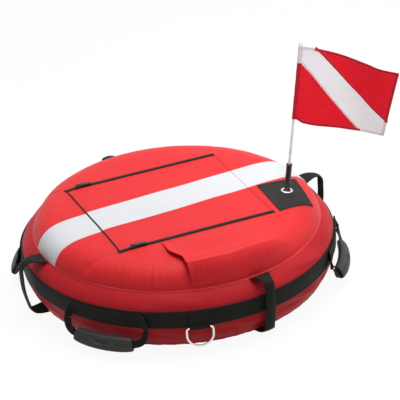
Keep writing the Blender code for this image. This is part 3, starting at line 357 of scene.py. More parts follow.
def spun(name: str, profile: Line, steps: int, closed: bool = False) -> Piece:
    """Extrude a profile point by point and spin it round the Z axis.

    Args:
        name: The piece's name.
        profile: Points as (radius, height).
        steps: Steps round the axis.
        closed: Whether the profile ends where it starts.

    Returns:
        The piece, an open or closed shell.
    """
    start = profile[0]
    bpy.ops.mesh.primitive_plane_add(size=0.001, location=(start[0], 0.0, start[1]))
    piece = named(name)
    edit(piece)
    bpy.ops.mesh.merge(type="CENTER")
    path = [*profile[1:], start] if closed else profile[1:]
    last = start
    for radius, height in path:
        step = (radius - last[0], 0.0, height - last[1])
        bpy.ops.mesh.extrude_vertices_move(TRANSFORM_OT_translate={"value": step})
        last = (radius, height)
    bpy.ops.mesh.select_all(action="SELECT")
    bpy.ops.mesh.remove_doubles(threshold=MERGE)
    bpy.ops.mesh.select_all(action="SELECT")
    bpy.ops.mesh.spin(steps=steps, angle=math.tau, center=(0, 0, 0), axis=(0, 0, 1))
    bpy.ops.mesh.select_all(action="SELECT")
    bpy.ops.mesh.remove_doubles(threshold=MERGE)
    done()
    return piece


def sliced(piece: Piece, lines: Iterable[tuple[Spot, Spot]], inside: bool = True) -> Piece:
    """Cut a shell along upright planes and keep one side of them all.

    Args:
        piece: The shell.
        lines: Directed lines in plan, as (start, end), going round the kept outline anticlockwise.
        inside: Whether to keep the inside of the outline, or the outside.

    Returns:
        The same piece.
    """
    planes = []
    for start, end in lines:
        along = (Vector(end) - Vector(start)).normalized()
        planes.append((Vector((*start, 0.0)), Vector((along.y, -along.x, 0.0))))
    edit(piece)
    for spot, out in planes:
        bpy.ops.mesh.select_all(action="SELECT")
        bpy.ops.mesh.bisect(plane_co=spot, plane_no=out, clear_outer=inside, threshold=MERGE)
    done()
    if not inside:
        without_faces(piece, lambda middle: all((middle - spot).dot(out) < 0 for spot, out in planes))
    return piece


def raised(piece: Piece, lift: float) -> Piece:
    """Move an open shell along its own normals.

    Args:
        piece: The shell, faces outward.
        lift: The distance.

    Returns:
        The same piece.
    """
    edit(piece)
    bpy.ops.transform.shrink_fatten(value=lift)
    done()
    return piece


def joined(pieces: Sequence[Piece], name: str) -> Piece:
    """Join several meshes into one piece.

    Args:
        pieces: The meshes.
        name: The joined piece's name.

    Returns:
        The piece.
    """
    pick(pieces[0])
    for other in pieces[1:]:
        other.select_set(True)
    bpy.ops.object.join()
    piece = bpy.context.object
    piece.name = name
    piece.data.name = name
    return piece


def smoothstep(low: float, high: float, value: Points) -> Points:
    """A smooth rise from 0 to 1 between two values.

    Args:
        low: Where it is 0.
        high: Where it is 1.
        value: The values to judge.

    Returns:
        The rise at each value.
    """
    share = np.clip((value - low) / (high - low), 0.0, 1.0)
    return share * share * (3.0 - 2.0 * share)


def straight(start: Spot, end: Spot, count: int) -> tuple[Points, Points]:
    """Evenly spaced places on a straight line, as their first and second coordinates."""
    share = np.linspace(0.0, 1.0, count)
    return start[0] + (end[0] - start[0]) * share, start[1] + (end[1] - start[1]) * share


def near_line(x: Points, y: Points, start: Spot, end: Spot) -> tuple[Points, Points]:
    """Where places lie beside a straight line.

    Args:
        x: First coordinates.
        y: Second coordinates.
        start: The line's start.
        end: The line's end.

    Returns:
        The share of the line's length at each place, and the distance from it.
    """
    span = np.array(end) - np.array(start)
    share = np.clip(((x - start[0]) * span[0] + (y - start[1]) * span[1]) / span.dot(span), 0.0, 1.0)
    return share, np.hypot(x - start[0] - share * span[0], y - start[1] - share * span[1])


def squared(wave: Points, power: float) -> Points:
    """A cosine or sine pushed out towards a square's, the sign kept."""
    return np.sign(wave) * np.abs(wave) ** power


def upright_on(axis: Vector) -> Matrix:
    """The turn that brings Z onto an axis."""
    return Vector((0, 0, 1)).rotation_difference(axis).to_matrix().to_4x4()


def hump(value: Points, middle: float, breadth: float) -> Points:
    """A round hump of height 1 at a middle value, falling off over a breadth."""
    return np.exp(-(((value - middle) / breadth) ** 2))


def ripple(along: Points, across: Points, seed: float, scale: float) -> Points:
    """Smooth, fixed lumps from a few crossed waves, from -1 to 1.

    Args:
        along: First coordinate, in metres.
        across: Second coordinate, in metres.
        seed: Turns and shifts the waves.
        scale: Size of a lump, in metres.

    Returns:
        The lumps' height at each place.
    """
    total = np.zeros_like(along)
    for index in range(5):
        turn = seed + 2.4 * index
        pitch = math.tau / (scale * (1.0 + 0.37 * index))
        phase = 1.7 * seed + 0.9 * index * index
        wave = along * math.cos(turn) + across * math.sin(turn)
        total = total + np.sin(wave * pitch + phase + 0.8 * np.sin(across * pitch * 0.61 + phase))
    return total / 5.0


def curve_through(knots: Sequence[Spot], steps: int, cyclic: bool = False) -> Points:
    """Points on a smooth curve through the given ones.

    Args:
        knots: Points of any dimension.
        steps: Points for each span.
        cyclic: Whether the curve closes.

    Returns:
        An array with a row for each point.
    """
    rows = np.array(knots, float)
    count = len(rows)
    result = []
    for span in range(count if cyclic else count - 1):
        if cyclic:
            near = [rows[(span + shift) % count] for shift in (-1, 0, 1, 2)]
        else:
            near = [rows[min(max(span + shift, 0), count - 1)] for shift in (-1, 0, 1, 2)]
        for step in range(steps):
            t = step / steps
            result.append(
                near[0] * (-0.5 * t + t * t - 0.5 * t**3)
                + near[1] * (1.0 - 2.5 * t * t + 1.5 * t**3)
                + near[2] * (0.5 * t + 2.0 * t * t - 1.5 * t**3)
                + near[3] * (-0.5 * t * t + 0.5 * t**3)
            )
    if not cyclic:
        result.append(rows[-1])
    return np.array(result)


def unit(rows: Points) -> Points:
    """Rows brought to length 1.

    Args:
        rows: An array of vectors.

    Returns:
        The unit vectors.
    """
    return rows / np.maximum(np.linalg.norm(rows, axis=-1, keepdims=True), 1e-12)


# ---------------------------------------------------------------- shader craft


class Graph:
    """A node tree that is filled node by node."""

    def __init__(self, tree: NodeTree) -> None:
        """Start on a tree.

        Args:
            tree: A material's or group's node tree.
        """
        self.tree = tree

    def add(self, kind: str, inputs: dict | None = None, **settings: object) -> bpy.types.Node:
        """Add a node, with values or links for its inputs.

        Args:
            kind: The node's type name without its "ShaderNode" start.
            inputs: Values or output sockets by input name or index.
            **settings: Properties set on the node.

        Returns:
            The node.
        """
        node = self.tree.nodes.new(kind if kind.startswith("Node") else f"ShaderNode{kind}")
        for key, value in settings.items():
            setattr(node, key, value)
        for key, value in (inputs or {}).items():
            if isinstance(value, NodeSocket):
                self.tree.links.new(value, node.inputs[key])
            else:
                node.inputs[key].default_value = value
        return node

    def link(self, source: NodeSocket, node: bpy.types.Node, name: str) -> None:
        """Link an output socket to a node's named input."""
        self.tree.links.new(source, node.inputs[name])

    def math(self, operation: str, first: object, second: object = 0.0) -> NodeSocket:
        """One step of arithmetic.

        Args:
            operation: A Math node's operation.
            first: A value or socket.
            second: A value or socket.

        Returns:
            The result's socket.
        """
        return self.add("Math", {0: first, 1: second}, operation=operation).outputs[0]

    def blend(self, share: object, first: object, second: object) -> NodeSocket:
        """A mix of two colours.

        Args:
            share: How much of the second, 0 to 1.
            first: A colour or socket.
            second: A colour or socket.

        Returns:
            The mixed colour's socket.
        """
        node = self.add("Mix", {0: share, 6: first, 7: second}, data_type="RGBA")
        return node.outputs[2]


def new_group(
    name: str, inputs: dict[str, str], outputs: dict[str, str]
) -> tuple[NodeTree, Graph, dict, dict]:
    """Start a shader node group.

    Args:
        name: The group's name.
        inputs: Socket types by input name.
        outputs: Socket types by output name.

    Returns:
        The tree, its graph, the inputs' sockets and the group output's inputs.
    """
    tree = bpy.data.node_groups.new(name, "ShaderNodeTree")
    for key, kind in inputs.items():
        tree.interface.new_socket(name=key, in_out="INPUT", socket_type=kind)
    for key, kind in outputs.items():
        tree.interface.new_socket(name=key, in_out="OUTPUT", socket_type=kind)
    graph = Graph(tree)
    source = graph.add("NodeGroupInput")
    sink = graph.add("NodeGroupOutput")
    return tree, graph, source.outputs, sink.inputs


FLOAT, VECTOR, COLOUR = "NodeSocketFloat", "NodeSocketVector", "NodeSocketColor"


class Effects:
    """The shader groups that several finishes share."""

    def __init__(self) -> None:
        """Build every group once."""
        self.weave = self._weave()
        self.tone = self._tone()
        self.ribs = self._ribs()
        self.stitches = self._stitches()
        self.scuffs = self._scuffs()

    def _weave(self) -> NodeTree:
        """Plain weave of a given thread pitch, as a height.

        Returns:
            The group.
        """
        tree, g, given, out = new_group(
            "plain_weave", {"Vector": VECTOR, "Pitch": FLOAT}, {"Height": FLOAT}
        )
        parts = g.add("SeparateXYZ", {0: given["Vector"]})
        turns = g.math("DIVIDE", math.pi, given["Pitch"])
        x, y = g.math("MULTIPLY", parts.outputs[0], turns), g.math("MULTIPLY", parts.outputs[1], turns)
        warp = g.math("ABSOLUTE", g.math("SINE", x))
        weft = g.math("ABSOLUTE", g.math("SINE", y))
        over = g.math("GREATER_THAN", g.math("MULTIPLY", g.math("SINE", x), g.math("SINE", y)), 0.0)
        under = g.math("SUBTRACT", 1.0, over)
        g.tree.links.new(
            g.math("ADD", g.math("MULTIPLY", warp, over), g.math("MULTIPLY", weft, under)), out["Height"]
        )
        return tree

    def _tone(self) -> NodeTree:
        """Slow changes of colour and roughness over cloth, and its soft creases.

        Returns:
            The group.
        """
        tree, g, given, out = new_group(
            "cloth_tone",
            {"Vector": VECTOR, "Color": COLOUR, "Shade": COLOUR, "Roughness": FLOAT, "Size": FLOAT},
            {"Color": COLOUR, "Roughness": FLOAT, "Creases": FLOAT},
        )
        scale = g.math("DIVIDE", 1.0, given["Size"])
        broad = g.add(
            "TexNoise", {"Vector": given["Vector"], "Scale": scale, "Detail": 3.0, "Roughness": 0.55}
        )
        fine = g.add(
            "TexNoise",
            {
                "Vector": given["Vector"], "Scale": g.math("MULTIPLY", scale, 9.0), "Detail": 5.0,
                "Roughness": 0.6
            },
        )
        share = g.add("MapRange", {0: broad.outputs[0], 1: 0.35, 2: 0.72})
        speck = g.add("MapRange", {0: fine.outputs[0], 1: 0.30, 2: 0.75, 4: 0.45})
        mixed = g.math("MULTIPLY", share.outputs[0], speck.outputs[0])
        g.tree.links.new(g.blend(mixed, given["Color"], given["Shade"]), out["Color"])
        change = g.math("MULTIPLY", g.math("SUBTRACT", fine.outputs[0], 0.5), 0.22)
        g.tree.links.new(g.math("ADD", given["Roughness"], change), out["Roughness"])
        bent = g.add(
            "Mapping", {"Vector": given["Vector"], "Rotation": (0.0, 0.0, 0.6), "Scale": (1.0, 2.6, 1.0)}
        )
        folds = g.add("TexNoise", {
            "Vector": bent.outputs[0], "Scale": g.math("MULTIPLY", scale, 3.2), "Detail": 4.0,
            "Roughness": 0.5, "Distortion": 0.8,
        })
        g.tree.links.new(folds.outputs[0], out["Creases"])
        return tree

    def _ribs(self) -> NodeTree:
        """Webbing: crosswise ribs in a herringbone and a firmer edge, from a map in metres.

        Returns:
            The group.
        """
        given_sockets = {"Vector": VECTOR, "Pitch": FLOAT, "Width": FLOAT}
        tree, g, given, out = new_group("webbing_ribs", given_sockets, {"Height": FLOAT, "Edge": FLOAT})
        parts = g.add("SeparateXYZ", {0: given["Vector"]})
        across, along = parts.outputs[0], parts.outputs[1]
        zigzag = g.add(
            "Math", {0: across, 1: g.math("DIVIDE", given["Width"], 8.0)}, operation="PINGPONG"
        ).outputs[0]
        place = g.math("ADD", along, g.math("MULTIPLY", zigzag, 0.8))
        rib = g.math(
            "ABSOLUTE", g.math("SINE", g.math("MULTIPLY", place, g.math("DIVIDE", math.pi, given["Pitch"])))
        )
        cords = g.math(
            "ABSOLUTE",
            g.math("SINE", g.math("MULTIPLY", across, g.math("DIVIDE", math.tau * 2.0, given["Pitch"])))
        )
        g.tree.links.new(
            g.math("ADD", g.math("MULTIPLY", rib, 0.75), g.math("MULTIPLY", cords, 0.25)), out["Height"]
        )
        off = g.math("ABSOLUTE", g.math("SUBTRACT", across, g.math("MULTIPLY", given["Width"], 0.5)))
        start, end = (g.math("MULTIPLY", given["Width"], share) for share in (0.44, 0.5))
        edge = g.add("MapRange", {0: off, 1: start, 2: end})
        g.tree.links.new(edge.outputs[0], out["Edge"])
        return tree

    def _stitches(self) -> NodeTree:
        """A row of stitches along one line of the map, as a mask.

        Returns:
            The group.
        """
        tree, g, given, out = new_group(
            "stitch_row", {"Vector": VECTOR, "At": FLOAT, "Width": FLOAT, "Pitch": FLOAT}, {"Mask": FLOAT},
        )
        parts = g.add("SeparateXYZ", {0: given["Vector"]})
        off = g.math("ABSOLUTE", g.math("SUBTRACT", parts.outputs[0], given["At"]))
        near = g.math("LESS_THAN", off, g.math("MULTIPLY", given["Width"], 0.5))
        step = g.math("FRACT", g.math("DIVIDE", parts.outputs[1], given["Pitch"]))
        g.tree.links.new(g.math("MULTIPLY", near, g.math("LESS_THAN", step, 0.68)), out["Mask"])
        return tree

    def _scuffs(self) -> NodeTree:
        """Fine scratches and rubbed spots on hard pieces, as a mask and a height.

        Returns:
            The group.
        """
        tree, g, given, out = new_group(
            "scuffs", {"Vector": VECTOR, "Size": FLOAT}, {"Mask": FLOAT, "Height": FLOAT}
        )
        scale = g.math("DIVIDE", 1.0, given["Size"])
        rub = g.add(
            "TexNoise", {"Vector": given["Vector"], "Scale": scale, "Detail": 6.0, "Roughness": 0.7}
        )
        long = g.add("Mapping", {"Vector": given["Vector"], "Scale": (1.0, 7.0, 1.0)})
        hair = g.add(
            "TexNoise", {"Vector": long.outputs[0], "Scale": g.math("MULTIPLY", scale, 4.0), "Detail": 3.0}
        )
        mask = g.add("MapRange", {0: g.math("MULTIPLY", rub.outputs[0], hair.outputs[0]), 1: 0.30, 2: 0.48})
        g.tree.links.new(mask.outputs[0], out["Mask"])
        g.tree.links.new(rub.outputs[0], out["Height"])
        return tree


EFFECTS = Effects()


def rgba(colour: Spot) -> tuple[float, float, float, float]:
    """A colour with full alpha."""
    return (*colour, 1.0)


def new_finish(name: str) -> tuple[Material, Graph, bpy.types.Node]:
    """Start a material.

    Args:
        name: The material's name.

    Returns:
        The material, its graph and its Principled shader.
    """
    material = bpy.data.materials.new(name)
    material.use_nodes = True
    return material, Graph(material.node_tree), material.node_tree.nodes["Principled BSDF"]


@dataclass(frozen=True)
class ClothFinish:
    """Coated nylon: a fine weave, slow tone changes and soft creases."""

    name: str
    colour: Colour
    shade: Colour
    roughness: float = 0.5
    thread: float = 0.0007
    tone_size: float = 0.12
    crease: float = 0.0006
    weave: float = 0.00006
    sheen: float = 0.12
    coat: Coat = Coat.OBJECT

    def build(self) -> Material:
        """Build the material.

        Returns:
            The material.
        """
        material, g, shader = new_finish(self.name)
        source = g.add("TexCoord")
        vector = source.outputs["Object" if self.coat is Coat.OBJECT else "UV"]
        tone = g.add("Group", node_tree=EFFECTS.tone)
        weave = g.add("Group", node_tree=EFFECTS.weave)
        for group in (tone, weave):
            g.link(vector, group, "Vector")
        tone.inputs["Color"].default_value = rgba(self.colour)
        tone.inputs["Shade"].default_value = rgba(self.shade)
        tone.inputs["Roughness"].default_value = self.roughness
        tone.inputs["Size"].default_value = self.tone_size
        weave.inputs["Pitch"].default_value = self.thread
        height = g.math(
            "ADD",
            g.math("MULTIPLY", tone.outputs["Creases"], self.crease),
            g.math("MULTIPLY", weave.outputs["Height"], self.weave),
        )
        bump = g.add("Bump", {"Height": height, "Strength": 1.0, "Distance": 1.0})
        g.link(tone.outputs["Color"], shader, "Base Color")
        g.link(tone.outputs["Roughness"], shader, "Roughness")
        g.link(bump.outputs[0], shader, "Normal")
        shader.inputs["Specular IOR Level"].default_value = 0.16
        shader.inputs["Sheen Weight"].default_value = self.sheen
        shader.inputs["Sheen Roughness"].default_value = 0.4
        return material


@dataclass(frozen=True)
class WebbingFinish:
    """Woven webbing with crosswise ribs, read from the piece's map in metres."""

    name: str
    width: float
    colour: Colour = (0.0055, 0.0055, 0.0048)
    # Lighter colour mixed in at rubbed spots, edges and stitches, and as a painted highlight on the ribs'
    # crests.
    rub: Colour = (0.015, 0.0148, 0.0132)
    pitch: float = 0.0022
    stitched: tuple[float, ...] = ()

    def build(self) -> Material:
        """Build the material.

        Returns:
            The material.
        """
        material, g, shader = new_finish(self.name)
        source = g.add("TexCoord")
        ribs = g.add(
            "Group", {"Vector": source.outputs["UV"], "Pitch": self.pitch, "Width": self.width},
            node_tree=EFFECTS.ribs
        )
        scuffs = g.add(
            "Group", {"Vector": source.outputs["Object"], "Size": 0.03}, node_tree=EFFECTS.scuffs
        )
        # The rib crests are made lighter as a painted highlight. The scuffs add real wear, and the edges
        # and stitches are lighter too, so the sum, worn, is partly real wear and partly painted highlight.
        rib_crest_highlight = g.math("MULTIPLY", ribs.outputs["Height"], 0.55)
        worn = g.math("ADD", rib_crest_highlight, g.math("MULTIPLY", scuffs.outputs["Mask"], 0.25))
        worn = g.math("ADD", worn, g.math("MULTIPLY", ribs.outputs["Edge"], 0.2))
        height = g.math("MULTIPLY", ribs.outputs["Height"], 0.00022)
        for place in self.stitched:
            row = g.add("Group", {
                "Vector": source.outputs["UV"], "At": place, "Width": 0.0011, "Pitch": 0.0042,
            }, node_tree=EFFECTS.stitches)
            height = g.math("ADD", height, g.math("MULTIPLY", row.outputs["Mask"], 0.0004))
            worn = g.math("ADD", worn, g.math("MULTIPLY", row.outputs["Mask"], 0.5))
        g.link(g.blend(worn, rgba(self.colour), rgba(self.rub)), shader, "Base Color")
        g.link(g.math("ADD", 0.58, g.math("MULTIPLY", scuffs.outputs["Mask"], 0.15)), shader, "Roughness")
        bump = g.add("Bump", {"Height": height, "Strength": 1.0, "Distance": 1.0})
        g.link(bump.outputs[0], shader, "Normal")
        shader.inputs["Specular IOR Level"].default_value = 0.12
        return material


@dataclass(frozen=True)
class HardFinish:
    """Moulded, rubber or metal surfaces with scuffs."""

    name: str
    colour: Colour
    worn: Colour
    roughness: float
    worn_roughness: float
    metallic: float = 0.0
    size: float = 0.02
    relief: float = 0.00004
    specular: float = 0.5

    def build(self) -> Material:
        """Build the material.

        Returns:
            The material.
        """
        material, g, shader = new_finish(self.name)
        source = g.add("TexCoord")
        scuffs = g.add(
            "Group", {"Vector": source.outputs["Object"], "Size": self.size}, node_tree=EFFECTS.scuffs
        )
        mask = scuffs.outputs["Mask"]
        g.link(g.blend(mask, rgba(self.colour), rgba(self.worn)), shader, "Base Color")
        change = g.math("MULTIPLY", mask, self.worn_roughness - self.roughness)
        g.link(g.math("ADD", self.roughness, change), shader, "Roughness")
        bump = g.add(
            "Bump",
            {
                "Height": g.math("MULTIPLY", scuffs.outputs["Height"], self.relief), "Strength": 1.0,
                "Distance": 1.0
            }
        )
        g.link(bump.outputs[0], shader, "Normal")
        shader.inputs["Metallic"].default_value = self.metallic
        shader.inputs["Specular IOR Level"].default_value = self.specular
        return material


RED_TOP = ClothFinish("red_nylon_top", (0.740, 0.026, 0.030), (0.650, 0.020, 0.025), sheen=0.04).build()
# The same red nylon as the top, made darker: painted shade on the side bands, which face away from the
# overhead lamp.
RED_SIDE_PAINTED_SHADE = ClothFinish(
    "red_nylon_side_painted_shade", (0.500, 0.014, 0.020), (0.430, 0.010, 0.016), roughness=0.58, sheen=0.04,
    coat=Coat.LENGTH,
).build()
RED_BASE = ClothFinish(
    "red_nylon_base", (0.600, 0.022, 0.030), (0.500, 0.016, 0.024), roughness=0.55
).build()
RED_PIPING = ClothFinish(
    "red_piping", (0.800, 0.045, 0.055), (0.700, 0.030, 0.040), roughness=0.42, thread=0.0005,
    crease=0.0001, coat=Coat.LENGTH,
).build()
WHITE_STRIPE = ClothFinish(
    "white_nylon_stripe", (0.700, 0.712, 0.740), (0.650, 0.662, 0.690), roughness=0.50, sheen=0.03,
).build()
BLACK_PATCH = ClothFinish(
    "black_patch_cloth", (0.020, 0.019, 0.017), (0.012, 0.011, 0.010), roughness=0.66, sheen=0.03,
    thread=0.0009, crease=0.0003, weave=0.0001,
).build()
FLAG_RED = ClothFinish(
    "flag_red_nylon", (0.760, 0.008, 0.022), (0.660, 0.006, 0.018), roughness=0.55, coat=Coat.LENGTH,
    crease=0.0010,
).build()
FLAG_WHITE = ClothFinish(
    "flag_white_nylon", (0.860, 0.870, 0.890), (0.780, 0.790, 0.820), roughness=0.55, coat=Coat.LENGTH,
    crease=0.0010,
).build()
# Darker copies of the flag cloth for the hems, seam allowances and sleeve: painted shade of the folded
# layers. The white one is also pinkish-grey.
FLAG_HEM_RED_PAINTED_SHADE = ClothFinish(
    "flag_red_hem_painted_shade", (0.470, 0.006, 0.022), (0.400, 0.005, 0.018), roughness=0.6, crease=0.0004,
).build()
FLAG_HEM_WHITE_PAINTED_SHADE = ClothFinish(
    "flag_white_hem_painted_shade", (0.720, 0.640, 0.680), (0.620, 0.540, 0.590), roughness=0.6, crease=0.0004,
).build()
BELT_WEB = WebbingFinish("belt_webbing_weave", 0.040, stitched=(0.0025, 0.0375)).build()
STRAP_WEB = WebbingFinish("strap_webbing_weave", 0.047).build()
HANDLE_WEB = WebbingFinish("handle_webbing_weave", 0.030, stitched=(0.003, 0.027)).build()
KEEPER_WEB = WebbingFinish("keeper_webbing_weave", 0.045, stitched=(0.003, 0.042)).build()
ZIP_TAPE = WebbingFinish(
    "zip_tape_weave", 0.012, colour=(0.012, 0.010, 0.009), rub=(0.040, 0.022, 0.018), pitch=0.0012
).build()
BINDING = WebbingFinish(
    "binding_weave", 0.006, colour=(0.014, 0.008, 0.008), rub=(0.040, 0.016, 0.016), pitch=0.0012
).build()
COIL = HardFinish(
    "zip_coil_nylon", (0.030, 0.018, 0.015), (0.075, 0.040, 0.034), 0.40, 0.5, size=0.01
).build()
SLIDER_METAL = HardFinish(
    "slider_black_metal", (0.055, 0.052, 0.048), (0.45, 0.43, 0.40), 0.30, 0.25, metallic=0.85, size=0.004
).build()
PULL_RUBBER = HardFinish(
    "pull_black_rubber", (0.014, 0.014, 0.014), (0.034, 0.033, 0.032), 0.38, 0.55, size=0.008
).build()
GRIP_PLASTIC = HardFinish(
    "grip_grey_plastic", (0.026, 0.028, 0.024), (0.046, 0.049, 0.043), 0.46, 0.6, size=0.012, specular=0.28
).build()
# Near black with almost no gloss: painted shade in the grip's small dimples.
GRIP_DIMPLE_PAINTED_SHADE = HardFinish(
    "grip_dimple_painted_shade", (0.002, 0.002, 0.002), (0.004, 0.004, 0.004), 0.80, 0.9, size=0.012, specular=0.05
).build()
STEEL = HardFinish(
    "bright_steel", (0.72, 0.71, 0.69), (0.60, 0.59, 0.57), 0.14, 0.32, metallic=1.0, size=0.015
).build()
SOCKET_RUBBER = HardFinish(
    "socket_black_rubber", (0.012, 0.012, 0.013), (0.030, 0.030, 0.030), 0.34, 0.5, size=0.015
).build()
TUBE_RUBBER = HardFinish(
    "tube_black_rubber", (0.020, 0.020, 0.021), (0.045, 0.045, 0.044), 0.55, 0.7, size=0.06
).build()
THREAD_RED = HardFinish(
    "red_thread", (0.700, 0.030, 0.040), (0.600, 0.020, 0.030), 0.50, 0.6, size=0.004, specular=0.3
).build()
THREAD_WHITE = HardFinish(
    "white_thread", (0.840, 0.845, 0.860), (0.700, 0.705, 0.720), 0.50, 0.6, size=0.004, specular=0.3
).build()
THREAD_FLAG = HardFinish(
    "flag_thread", (0.880, 0.100, 0.120), (0.760, 0.060, 0.080), 0.50, 0.6, size=0.004, specular=0.3
).build()
THREAD_BLACK = HardFinish(
    "black_thread", (0.018, 0.017, 0.016), (0.030, 0.029, 0.028), 0.60, 0.7, size=0.004, specular=0.2
).build()
POLE_GLASS = HardFinish(
    "pole_pale_fibreglass", (0.760, 0.765, 0.770), (0.640, 0.645, 0.650), 0.30, 0.45, size=0.02
).build()


def dress(
    piece: Piece, material: Material, slot: Slot, body: str = ROOT, replaces: Sequence[str] = (),
) -> Piece:
    """Give a finished piece its material and body, and hide the CAD nodes that it stands for.

    Args:
        piece: The finished piece.
        material: Its material.
        slot: The record's slot; not used.
        body: The body it rides on.
        replaces: The CAD nodes that it stands for.

    Returns:
        The same piece.
    """
    piece.data.materials.clear()
    piece.data.materials.append(material)
    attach(piece, body)
    if replaces:
        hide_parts(*replaces)
    LOG.info("%s: %d faces on %s", piece.name, len(piece.data.polygons), body)
    return piece


# ---------------------------------------------------------------- the buoy's shape


@dataclass(frozen=True)
class BuoyShape:
    """The cover's driving sizes and the surfaces that follow from them."""

    belt_radius: float = 0.360
    belt_height: float = 0.083
    top_seam_radius: float = 0.3285
    top_seam_height: float = 0.1335
    base_seam_radius: float = 0.338
    base_seam_height: float = 0.010
    base_flat_radius: float = 0.312
    side_fullness: float = 2.7
    dome_rise: float = 0.051
    dome_flatness: float = 13.0
    dome_shoulder: float = 1.4
    cover: float = 0.0012
    piping: float = 0.0022
    belt_width: float = 0.040
    ply: float = 0.0003
    stripe_half: float = 0.0485
    flap: tuple = ((-0.211, -0.152), (0.153, -0.181), (0.178, 0.150), (-0.194, 0.178))
    pole_foot: tuple = (0.231, -0.111)
    pucker_count: float = 128.0
    pucker: float = 0.00045
    front_pucker: float = 0.0021
    front_puckers: tuple = (-131.0, 15.0)
    belt_thickness: float = 0.0016
    creases: tuple = (
        ((-0.212, -0.153), (-0.296, -0.136), 0.0042, 0.0052),
        ((-0.198, 0.182), (-0.245, 0.211), 0.0016, 0.0060),
        ((0.180, 0.154), (0.217, 0.212), 0.0012, 0.0050),
    )

    @property
    def zips(self) -> dict[str, tuple]:
        """Each zip's line in plan, from its slider's end: the flap's front and back sides."""
        front_left, front_right, back_right, back_left = self.flap
        return {"front": (front_left, front_right), "back": (back_left, back_right)}

    @property
    def face(self) -> float:
        """How far what is sewn on the cover lies outside the cloth's middle."""
        return self.cover / 2 + self.ply

    def side_radius(self, height: Points) -> Points:
        """Radius of the side wall at a height.

        Args:
            height: Heights on the wall.

        Returns:
            The radius at each.
        """
        up = np.clip((height - self.belt_height) / (self.top_seam_height - self.belt_height), 0, 1)
        down = np.clip((self.belt_height - height) / (self.belt_height - self.base_seam_height), 0, 1)
        upper = (self.belt_radius - self.top_seam_radius) * up**self.side_fullness
        return (
            self.belt_radius - upper - (self.belt_radius - self.base_seam_radius) * down**self.side_fullness
        )

    def dome_height(self, radius: Points) -> Points:
        """Height of the dome at a radius."""
        share = np.minimum(np.abs(radius) / self.top_seam_radius, 1.0)
        return (
            self.top_seam_height
            + self.dome_rise * (1.0 - share**self.dome_flatness) ** (1.0 / self.dome_shoulder)
        )

    def relief(self, x: Points, y: Points) -> Points:
        """Lumps, puckers and creases of the top cloth, square to the dome.

        Args:
            x: Places along X.
            y: Places along Y.

        Returns:
            How far the cloth stands out at each place.
        """
        radius, angle = np.hypot(x, y), np.arctan2(y, x)
        rim = smoothstep(self.top_seam_radius - 0.045, self.top_seam_radius - 0.005, radius)
        tight = smoothstep(self.top_seam_radius, self.top_seam_radius - 0.010, radius)
        front = hump(np.degrees(angle), self.front_puckers[0], self.front_puckers[1])
        sway = 1.6 * np.sin(7.0 * angle + 0.6) + 1.1 * np.sin(11.0 * angle + 2.0)
        pucker = np.sin(self.pucker_count * angle + sway) * (0.6 + 0.4 * np.sin(23.0 * angle + 1.0))
        lift = (0.0011 * ripple(x, y, 0.7, 0.16) + 0.0005 * ripple(x, y, 2.1, 0.06)) * self.off_seams(x, y)
        lift = lift + rim * tight * pucker * (self.pucker + self.front_pucker * front)
        return lift + self.corner_creases(x, y)

    def off_seams(self, x: Points, y: Points) -> Points:
        """0 where zips and the grommet hold the cloth flat, 1 away from them.

        Args:
            x: Places along X.
            y: Places along Y.

        Returns:
            The share at each place.
        """
        free = smoothstep(0.018, 0.040, np.hypot(x - self.pole_foot[0], y - self.pole_foot[1]))
        for line in self.zips.values():
            free = free * smoothstep(0.006, 0.022, near_line(x, y, *line)[1])
        return free

    def corner_creases(self, x: Points, y: Points) -> Points:
        """Creases that run from the flap's left corners to the seam.

        Args:
            x: Places along X.
            y: Places along Y.

        Returns:
            The creases' height, below 0.
        """
        total = np.zeros_like(x)
        for start, end, depth, breadth in self.creases:
            share, off = near_line(x, y, start, end)
            ends = smoothstep(0.0, 0.25, share) * smoothstep(1.0, 0.85, share)
            total = total - depth * ends * hump(off, 0.0, breadth)
        return total

    def on_dome(self, x: Points, y: Points, lift: Points) -> Points:
        """Points at a distance above the puckered dome, square to it.

        Args:
            x: Places along X.
            y: Places along Y.
            lift: Distance above the cloth's middle.

        Returns:
            The points, one row each.
        """
        radius = np.maximum(np.hypot(x, y), 1e-6)
        step = 0.0005
        slope = (self.dome_height(radius + step) - self.dome_height(radius - step)) / (2 * step)
        length = np.hypot(slope, 1.0)
        lift = lift + self.relief(x, y)
        return np.stack([
            x - x / radius * slope / length * lift,
            y - y / radius * slope / length * lift,
            self.dome_height(radius) + lift / length,
        ], axis=1)

    def side_relief(self, angle: Points, height: Points) -> Points:
        """Soft folds of the side bands, outwards.

        Args:
            angle: Angles round the buoy.
            height: Heights on the wall.

        Returns:
            How far the cloth stands out at each place.
        """
        around = angle * self.belt_radius
        middle = np.abs(height - self.belt_height) / (self.top_seam_height - self.belt_height)
        free = smoothstep(0.45, 0.70, middle) * smoothstep(1.02, 0.80, middle)
        slanted = np.sin(around / 0.021 + 90.0 * (height - self.belt_height) + 2.0 * np.sin(around / 0.17))
        right = hump(np.degrees(angle), -55.0, 16.0) + 0.5 * hump(np.degrees(angle), 120.0, 25.0)
        below = (height < self.belt_height) * 1.0
        folds = slanted * (0.0006 + 0.0030 * right + 0.0017 * below * (0.5 + 0.5 * np.sin(around / 0.11)))
        return free * (folds + 0.0010 * ripple(around, height * 1.5, 1.3, 0.11))


SHAPE = BuoyShape()
CENTRE = (0.0, 0.0, 0.08)


def spaced(low: float, high: float, count: int) -> list[float]:
    """Evenly spaced values, both ends included."""
    return [float(value) for value in np.linspace(low, high, count)]


